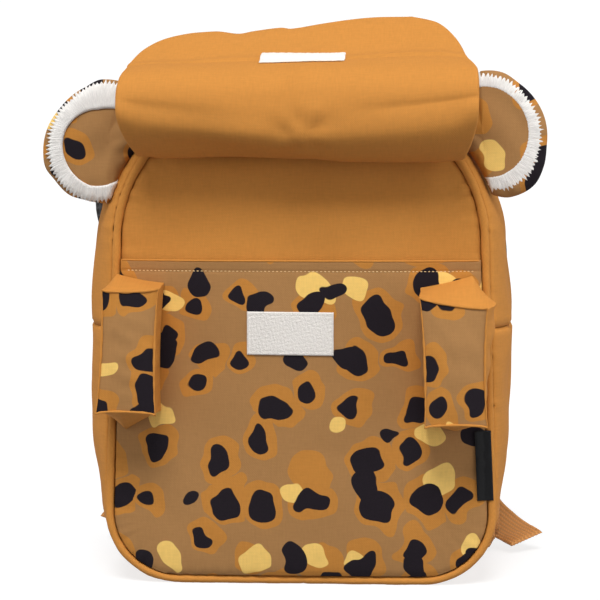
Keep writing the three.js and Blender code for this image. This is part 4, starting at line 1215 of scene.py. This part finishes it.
# The paws. Each has the corners of its front face, x and z: the two low ones, then the two high ones.
# Its peak and foot are how far the seat on the pocket runs beyond the front face, and where across.
PAWS = {
    "left": dict(corners=[(-114.4, 104.3), (-80.4, 104.5), (-110.5, 173.3), (-78.4, 174.5)],
                 peak=8.5, peak_at=-0.75, foot=14.5, foot_at=-0.25, bulge=(0.03, 0.03), seed=81),
    "right": dict(corners=[(72.8, 98.4), (107.4, 98), (69.7, 170), (107, 163.9)],
                  peak=16.7, peak_at=0.6, foot=8, foot_at=0.0, bulge=(0.03, 0.3), seed=91),
}
PAW_HALF = 17
PAW_PUFF = 2.4
PAW_SIDE_DRAW = 1.3  # how far the stuffing draws the two long seams in
PAW_END_DRAW = 0.9
PAW_STEPS = 34


def gable(across, at, half):
    """1 at one place across, falling straight to nothing past each side."""
    slope = np.where(across < at, half + at, half - at)
    return np.clip(1 - np.abs(across - at) / slope, 0, 1)


def paw_place(form, across, out, high):
    """A place on a paw from its shares across and up, -1 to 1, and out from the pocket, 0 to 1."""
    low_left, low_right, high_left, high_right = np.array(form["corners"], float)
    right, up = (across[..., None] + 1) / 2, (high[..., None] + 1) / 2
    low = low_left * (1 - right) + low_right * right
    top = high_left * (1 - right) + high_right * right
    x, z = np.moveaxis(low * (1 - up) + top * up, -1, 0)
    x = x - np.sign(across) * PAW_SIDE_DRAW * (1 - high ** 2) * np.abs(across) ** 2
    z = z - np.sign(high) * PAW_END_DRAW * (1 - across ** 2) * np.abs(high) ** 4
    peak = form["peak"] * (0.25 + 0.75 * gable(across, form["peak_at"], 1.05))
    foot = form["foot"] * (0.12 + 0.88 * gable(across, form["foot_at"], 1.02))
    z = z + (peak * np.maximum(high, 0) ** 4 - foot * np.maximum(-high, 0) ** 4) * (1 - out)
    bulge = np.where(across < 0, form["bulge"][0], form["bulge"][1] * ease(-1.2, 0.8, high))
    middle = np.sin(math.pi * out)
    x = x + across * PAW_HALF * middle * bulge * np.abs(across) ** 3
    z = z + np.sign(high) * 1.2 * middle * np.abs(high) ** 12 * (1 - across ** 2)
    wrinkle = ripple(np.stack([x, z, 20 * out], axis=-1), 15, form["seed"]) * 0.5
    x = x + wrinkle * middle * np.sign(across) * np.abs(across) ** 4
    seat = pocket_y(np.clip(x, -half_width, half_width), np.clip(z, 0, POCKET_HEIGHT))
    puff = (PAW_PUFF + wrinkle * 0.8) * (1 - across ** 2) * (1 - high ** 2) * ease(0.8, 1, out)
    y = seat - CLOTH_WALL / 2 - CLOTH_GAP - PAW_REACH * out - puff
    return np.stack([x, y, z], axis=-1)


def paw_faces(form, across, high, out):
    """The six faces of a paw over its steps, with the places on their edges shared."""
    places, faces, flats, kinds = [], [], [], []
    known = {}

    def add_face(across, out, high, kind):
        grid = paw_place(form, across, out, high)
        shares = np.round(np.stack([across, out, high], axis=-1), 6)
        index = np.empty(grid.shape[:2], int)
        for spot in np.ndindex(index.shape):
            key = tuple(shares[spot])
            if key not in known:
                known[key] = len(places)
                places.append(grid[spot])
                flats.append((grid[spot][0] + form["seed"] * 3, grid[spot][2]))
            index[spot] = known[key]
        square = np.stack([index[:-1, :-1], index[:-1, 1:], index[1:, 1:], index[1:, :-1]], axis=-1)
        faces.extend(tuple(face) for face in square.reshape(-1, 4).tolist())
        kinds.extend([kind] * square[..., 0].size)

    a, h = np.meshgrid(across, high)
    add_face(a, np.ones_like(a), h, 0)
    add_face(a[:, ::-1], np.zeros_like(a), h, 1)
    o, h = np.meshgrid(out, high)
    add_face(np.full_like(o, -1.0), o, h, 1)
    add_face(np.full_like(o, 1.0), o[:, ::-1], h, 1)
    a, o = np.meshgrid(across, out)
    add_face(a, o, np.full_like(a, -1.0), 1)
    add_face(a, o[::-1], np.full_like(a, 1.0), 1)
    return places, faces, flats, kinds


def paw_binding(name, form, across, high):
    """The narrow binding on the seam round a paw's front face."""
    rim = [(-1, h) for h in high] + [(a, 1) for a in across[1:]]
    rim += [(1, h) for h in high[::-1][1:]] + [(a, -1) for a in across[::-1][1:-1]]
    rim = np.array(rim, float)
    seam = paw_place(form, rim[:, 0], np.ones(len(rim)), rim[:, 1])
    outward = seam - seam.mean(0)
    outward[:, 1] = 0
    outward /= np.linalg.norm(outward, axis=1, keepdims=True)
    pinch = 0.5 * np.exp(-((np.abs(rim) - 1) ** 2).sum(1) / 0.01)
    seam = seam + outward * (0.3 + pinch[:, None]) + np.array([0, -0.35, 0])
    turn = np.linspace(0, 2 * math.pi, 9)[:-1]
    along = np.roll(seam, -1, axis=0) - np.roll(seam, 1, axis=0)
    along /= np.linalg.norm(along, axis=1, keepdims=True)
    lift = np.cross(along, outward)
    thick = 0.5 + 0.1 * ripple(np.arange(len(seam))[:, None], 7, form["seed"] + 3)
    wide = outward[:, None] * np.cos(turn)[None, :, None] * 1.5
    tall = lift[:, None] * np.sin(turn)[None, :, None]
    run = np.concatenate([[0], np.cumsum(np.linalg.norm(np.diff(seam, axis=0), axis=1))])
    flat = np.stack(np.broadcast_arrays(run[:, None], 1.2 * turn[None]), axis=-1)
    rings = seam[:, None] + thick[:, None, None] * (wide + tall)
    binding = tube_piece(f"paw_{name}_seam_binding", rings, flat)
    dress(binding, ochre_piping)


def stuffed_paw(name, form):
    """Builds a paw as a closed shell: a printed front, plain sides and ends, and its seat."""
    across = np.sin(np.linspace(-math.pi / 2, math.pi / 2, PAW_STEPS))
    high = np.sin(np.linspace(-math.pi / 2, math.pi / 2, 2 * PAW_STEPS))
    places, faces, flats, kinds = paw_faces(form, across, high, 0.5 + 0.5 * across)
    piece = new_piece(f"paw_{name}_cloth", np.array(places), faces, np.array(flats))
    dress(piece, print_cloth, f"paw_{name}")
    piece.data.materials.append(ochre_cloth)
    piece.data.polygons.foreach_set("material_index", kinds)
    paw_binding(name, form, across, high)


def side_tag():
    half = TAG_HEIGHT / 2
    across, up = np.meshgrid(np.linspace(-TAG_WIDTH, 0, 16), np.linspace(-half, half, 48))
    lean = 0.045 * (up - TAG_HEIGHT / 2)
    x = half_width * flare_at(TAG_CENTRE_Z) - 2.6 + across - lean
    z = TAG_CENTRE_Z + up
    near = np.minimum(x, half_width_at(z))
    over_pocket = pocket_surface(near, z) - CLOTH_WALL / 2 - TAG_THICKNESS / 2 - 0.3
    over_piping = -half_depth - PIPING_RADIUS - TAG_THICKNESS / 2 - 0.3
    curl = -0.5 * bump(across + TAG_WIDTH, 3) + 0.25 * ripple(up[..., None], 26, 101)
    grid = np.stack([x, np.minimum(over_pocket, over_piping) + curl, z], axis=-1)
    piece = sheet_piece("blank_side_tag", grid, TAG_THICKNESS, np.stack([across, up], axis=-1))
    dress(piece, label_cloth, "side_tag")


# The straps

STRAP_STOPS = [
    (0.34, 0, 0.925, 0.6, (1, 0, 0)),
    (0.34, 0.14, 0.925, 0.6, (1, 0, 0)),
    (0.4, 0.46, 0.935, 0.8, (1, 0, -0.1)),
    (0.54, 0.76, 0.912, 0.9, (0.96, 0, -0.28)),
    (0.74, 0.94, 0.86, 1, (0.86, 0, -0.5)),
    (0.93, 1, 0.78, 0.9, (0.95, 0, -0.3)),
    (1, 0.96, 0.66, -0.2, (1, 0, 0)),
    (0.98, 0.86, 0.54, -0.1, (1, 0, 0.05)),
    (0.93, 0.72, 0.42, 0, (1, 0, 0.05)),
]
STRAPS = {
    "left": dict(hand=-1, splay=1.0, push=0.14, seed=111, tail=[
        (0.98, 1.1, 0.17, (1, 0, 0)),
        (1.03, 0.85, 0.095, (0.9, 0.3, 0.3)),
        (1.13, 0.45, 0.045, (0.88, 0.35, 0.3)),
    ]),
    "right": dict(hand=1, splay=0.9, push=0, seed=121, tail=[
        (0.97, 1, 0.17, (1, 0.1, 0.2)),
        (0.97, 0.78, 0.096, (0.88, 0.25, 0.36)),
        (1.09, 0.4, 0.054, (0.86, 0.4, 0.3)),
        (1.235, 0.02, 0.03, (0.88, 0.42, 0.2)),
    ]),
}
top_bar = BUCKLE_NECK
middle_bar = top_bar + BUCKLE_BAR + UPPER_SLOT
lower_bar = middle_bar + BUCKLE_BAR + LOWER_SLOT
buckle_end = lower_bar + BUCKLE_BAR
half_turn = np.linspace(0, math.pi, 5)


def smooth_route(stops, at):
    """The place and the heading at shares of a centripetal curve through the stops."""
    stops = np.asarray(stops, float)
    padded = np.vstack([2 * stops[0] - stops[1], stops, 2 * stops[-1] - stops[-2]])
    spans = len(stops) - 1
    where = np.clip(np.asarray(at, float) * spans, 0, spans - 1e-9)
    first = where.astype(int)
    share = (where - first)[:, None]
    p = [padded[first + step] for step in range(4)]
    leaps = [p[step + 1] - p[step] for step in range(3)]
    gaps = [np.maximum(np.linalg.norm(leap, axis=1) ** 0.5, 1e-4)[:, None] for leap in leaps]
    leave = (leaps[0] / gaps[0] - (p[2] - p[0]) / (gaps[0] + gaps[1]) + leaps[1] / gaps[1]) * gaps[1]
    arrive = (leaps[1] / gaps[1] - (p[3] - p[1]) / (gaps[1] + gaps[2]) + leaps[2] / gaps[2]) * gaps[1]
    a = 2 * p[1] - 2 * p[2] + leave + arrive
    b = -3 * p[1] + 3 * p[2] - 2 * leave - arrive
    place = a * share ** 3 + b * share ** 2 + leave * share + p[1]
    heading = 3 * a * share ** 2 + 2 * b * share + leave
    return place, heading / np.maximum(np.linalg.norm(heading, axis=1, keepdims=True), 1e-9)


def ribbon_grid(stops, acrosses, width, steps, columns, end_share=1.0, end_from=0.8):
    """A strip of one width along a route, with each place on its flat cloth."""
    at = np.linspace(0, 1, steps)
    spans = len(stops) - 1
    place, heading = smooth_route(stops, at)
    lie = np.asarray(acrosses, float)
    stop = np.arange(spans + 1)
    across = np.stack([np.interp(at * spans, stop, lie[:, axis]) for axis in range(3)], axis=-1)
    across -= heading * (across * heading).sum(1, keepdims=True)
    across /= np.linalg.norm(across, axis=1, keepdims=True)
    narrow = 1 + (end_share - 1) * ease(end_from, 1, at)
    side = dense_ends(-1, 1, columns)
    grid = place[:, None] + across[:, None] * (side[None, :, None] * width / 2) * narrow[:, None, None]
    run = np.concatenate([[0], np.cumsum(np.linalg.norm(np.diff(place, axis=0), axis=1))])
    cloth = np.stack([side[None] * width / 2 * narrow[:, None], run[:, None] + 0 * side[None]], axis=-1)
    return grid, cloth


def back_face_y(z):
    crown = crown_share(0.0, z)
    thick = CLOTH_WALL + (BACK_PADDING - CLOTH_WALL) * np.minimum(1, 2.2 * crown)
    return half_depth + BACK_CROWN * crown + thick / 2


def strap_route(form):
    root_z = STRAP_STOPS[0][2] * BODY_HEIGHT
    root_y = float(back_face_y(root_z - STRAP_PADDING - LINING_THICKNESS)) + CLOTH_GAP
    stops, acrosses = [], []
    for stop, (out, behind, high, shift, across) in enumerate(STRAP_STOPS):
        splay = 1 if stop < 2 else form["splay"]
        x = form["hand"] * half_width * (out * splay + shift * form["push"])
        stops.append((x, root_y + behind * STRAP_REACH, high * BODY_HEIGHT))
        acrosses.append((across[0], form["hand"] * across[1], form["hand"] * across[2]))
    return np.array(stops, float), np.array(acrosses, float)


def webbing_piece(name, node, stops, acrosses, width, thickness, steps, hem=False,
                  end_share=1.0, ribs=WEBBING_RIBS):
    """A ribbed strap, with a folded hem at its free end where it has one."""
    grid, cloth = ribbon_grid(stops, acrosses, width, steps, 6 * ribs + 1, end_share)
    ribbing = 0.5 + 0.5 * np.cos(2 * math.pi * cloth[..., 0] / (width / ribs) + math.pi * (ribs % 2 - 1))
    run = cloth[..., 1]
    thick = thickness * (0.72 + 0.4 * ribbing)
    if hem:
        from_end = run.max() - run
        thick = thick * (1 + 0.8 * (1 - ease(9.5, 10.3, from_end)))
    piece = sheet_piece(name, grid, thick, cloth)
    dress(piece, webbing_cloth, node)
    if hem:
        normals = grid_normals(grid)
        for line, inset in enumerate((2.4, 8.2)):
            row = int(np.argmin(np.abs(run[:, 0] - (run.max() - inset))))
            route = grid[row, 4:-4] + normals[row, 4:-4] * thickness * 0.98
            stitches = stitches_along(f"{name}_hem_stitches_{line}", route, normals[row, 4:-4], 2.6, 1.9)
            dress(stitches, ochre_thread)
    return piece


STITCH_SHARE = 0.86  # where the edge stitches of a strap lie, as a share of half its width


def shoulder_strap(name, form):
    hand = form["hand"]
    stops, acrosses = strap_route(form)
    grid, cloth = ribbon_grid(stops, acrosses, STRAP_WIDTH, 150, 49, 0.6)
    side = cloth[..., 0] / np.abs(cloth[..., 0]).max(axis=1, keepdims=True)
    puff = 0.42 + 0.68 * np.sqrt(np.clip(1 - np.abs(side) ** 3, 0, 1))
    from_edge = (1 - np.abs(side)) * STRAP_WIDTH / 2
    thick = STRAP_PADDING * puff - 1.1 * bump(from_edge - STRAP_SEAM_INSET, 0.9)
    thick = thick + 0.5 * ripple(cloth, 30, form["seed"]) * ease(2, 8, from_edge)
    pad = sheet_piece(f"strap_{name}_pad", grid, thick, cloth)
    dress(pad, ochre_cloth, f"strap_{name}")
    normals = grid_normals(grid)
    outer = normals if normals[60, 24, 1] > 0 else -normals
    rows = slice(3, -3)
    for label, share in (("inner", -STITCH_SHARE), ("outer", STITCH_SHARE)):
        column = int(np.argmin(np.abs(side[40] - share)))
        route = grid[rows, column] + outer[rows, column] * (thick[rows, column, None] / 2 - 0.05)
        stitches = stitches_along(f"strap_{name}_{label}_stitches", route, outer[rows, column], 3.2, 2.3)
        dress(stitches, ochre_thread)
    lining_lift = -(STRAP_PADDING + LINING_THICKNESS) / 2 - LINING_GAP + 0.9
    lining_grid = grid + outer * lining_lift
    lining = sheet_piece(f"strap_{name}_mesh_lining", lining_grid, LINING_THICKNESS, cloth)
    dress(lining, mesh_cloth, f"strap_lining_{name}")

    end, before = stops[-1], stops[-2]
    heading = (end - before) / np.linalg.norm(end - before)
    across = acrosses[-1] - heading * (acrosses[-1] @ heading)
    across /= np.linalg.norm(across)
    outward = np.cross(across, heading)

    def from_end(down, off):
        return end + heading * down + outward * off

    bar_off = BUCKLE_THICKNESS / 2 + SEAM_GAP + TAB_THICKNESS / 2
    over = STRAP_PADDING / 2 + CLOTH_GAP + TAB_THICKNESS / 2
    under = over + LINING_THICKNESS + LINING_GAP
    turn_at = top_bar + BUCKLE_BAR
    route = [from_end(-TAB_HOLD, over), from_end(-1, over)]
    route += [from_end(turn_at + bar_off * math.sin(turn), bar_off * math.cos(turn)) for turn in half_turn]
    route += [from_end(-1, -under), from_end(-TAB_HOLD, -under)]
    webbing_piece(f"tab_{name}_webbing", f"tab_{name}", np.array(route), [across] * len(route),
                  WEBBING_WIDTH - 1, TAB_THICKNESS, 70)

    anchor_z = ANCHOR_WIDTH / 2 + ANCHOR_THICKNESS
    anchor_y = half_depth + PIPING_RADIUS + SEAM_GAP + ANCHOR_THICKNESS / 2
    anchor_inner = (flat_half + FOOT_RADIUS * 0.6) * float(flare_at(anchor_z))
    anchor_x = [hand * (anchor_inner + share * ANCHOR_LENGTH) for share in (0, 0.5, 1)]
    anchor_stops = np.array([(x, anchor_y, anchor_z) for x in anchor_x])
    webbing_piece(f"anchor_{name}_webbing", f"anchor_{name}", anchor_stops, [(0, 0, hand)] * 3,
                  ANCHOR_WIDTH, ANCHOR_THICKNESS, 24, end_share=0.7, ribs=14)

    run_off = BUCKLE_THICKNESS / 2 + SEAM_GAP + WEBBING_THICKNESS / 2
    root_x = hand * (anchor_inner + ANCHOR_LENGTH / 2)
    root_y = anchor_y + (ANCHOR_THICKNESS + WEBBING_THICKNESS) / 2 + 2 * CLOTH_GAP
    route = [(root_x, root_y, anchor_z + way * WEBBING_WIDTH / 3) for way in (-1, 1)]
    lie = [(1, 0, 0), (1, 0, 0)]
    upwards = (buckle_end + BUCKLE_NECK, buckle_end, middle_bar + BUCKLE_BAR)
    route += [from_end(down, -run_off) for down in upwards]
    route += [from_end(middle_bar - run_off * math.sin(turn), -run_off * math.cos(turn)) for turn in half_turn]
    route += [from_end(down, run_off) for down in upwards[::-1]]
    lie += [across] * 11
    for out, behind, high, side_way in form["tail"]:
        route.append((hand * out * half_width, half_depth + behind * STRAP_REACH, high * BODY_HEIGHT))
        lie.append((side_way[0], hand * side_way[1], hand * side_way[2]))
    webbing_piece(f"webbing_{name}_strap", f"webbing_{name}", np.array(route, float), np.array(lie, float),
                  WEBBING_WIDTH, WEBBING_THICKNESS, 240, hem=True)

    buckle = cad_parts[f"buckle_{name}"]
    buckle.data.materials.clear()
    buckle.data.materials.append(buckle_plastic)
    weld = buckle.modifiers.new("weld", "WELD")
    weld.merge_threshold = 0.00005
    round_off = buckle.modifiers.new("round_off", "BEVEL")
    round_off.width = 0.0007
    round_off.segments = 3


place_camera()
build_studio()
piping("piping_front", -half_depth, "front_piping", 131)
piping("piping_back", half_depth, "back_piping", 141)
side_wall("side_wall_lower", "gusset_lower", -seam_along + SEAM_GAP / 2, seam_along - SEAM_GAP / 2, 151)
side_wall("side_wall_upper_right", "gusset_upper_right", seam_along + SEAM_GAP / 2, mouth_along, 161)
side_wall("side_wall_upper_left", "gusset_upper_left", -mouth_along, -seam_along - SEAM_GAP / 2, 171)
front_panel()
front_pocket()
back_panel()
loop_patch()
lid_flap()
hook_strip()
for side_name, ear_form in EARS.items():
    padded_ear(side_name, ear_form)
    ear_trim(side_name, ear_form)
for side_name, paw_form in PAWS.items():
    stuffed_paw(side_name, paw_form)
side_tag()
for side_name, strap_form in STRAPS.items():
    shoulder_strap(side_name, strap_form)

bpy.context.view_layer.update()
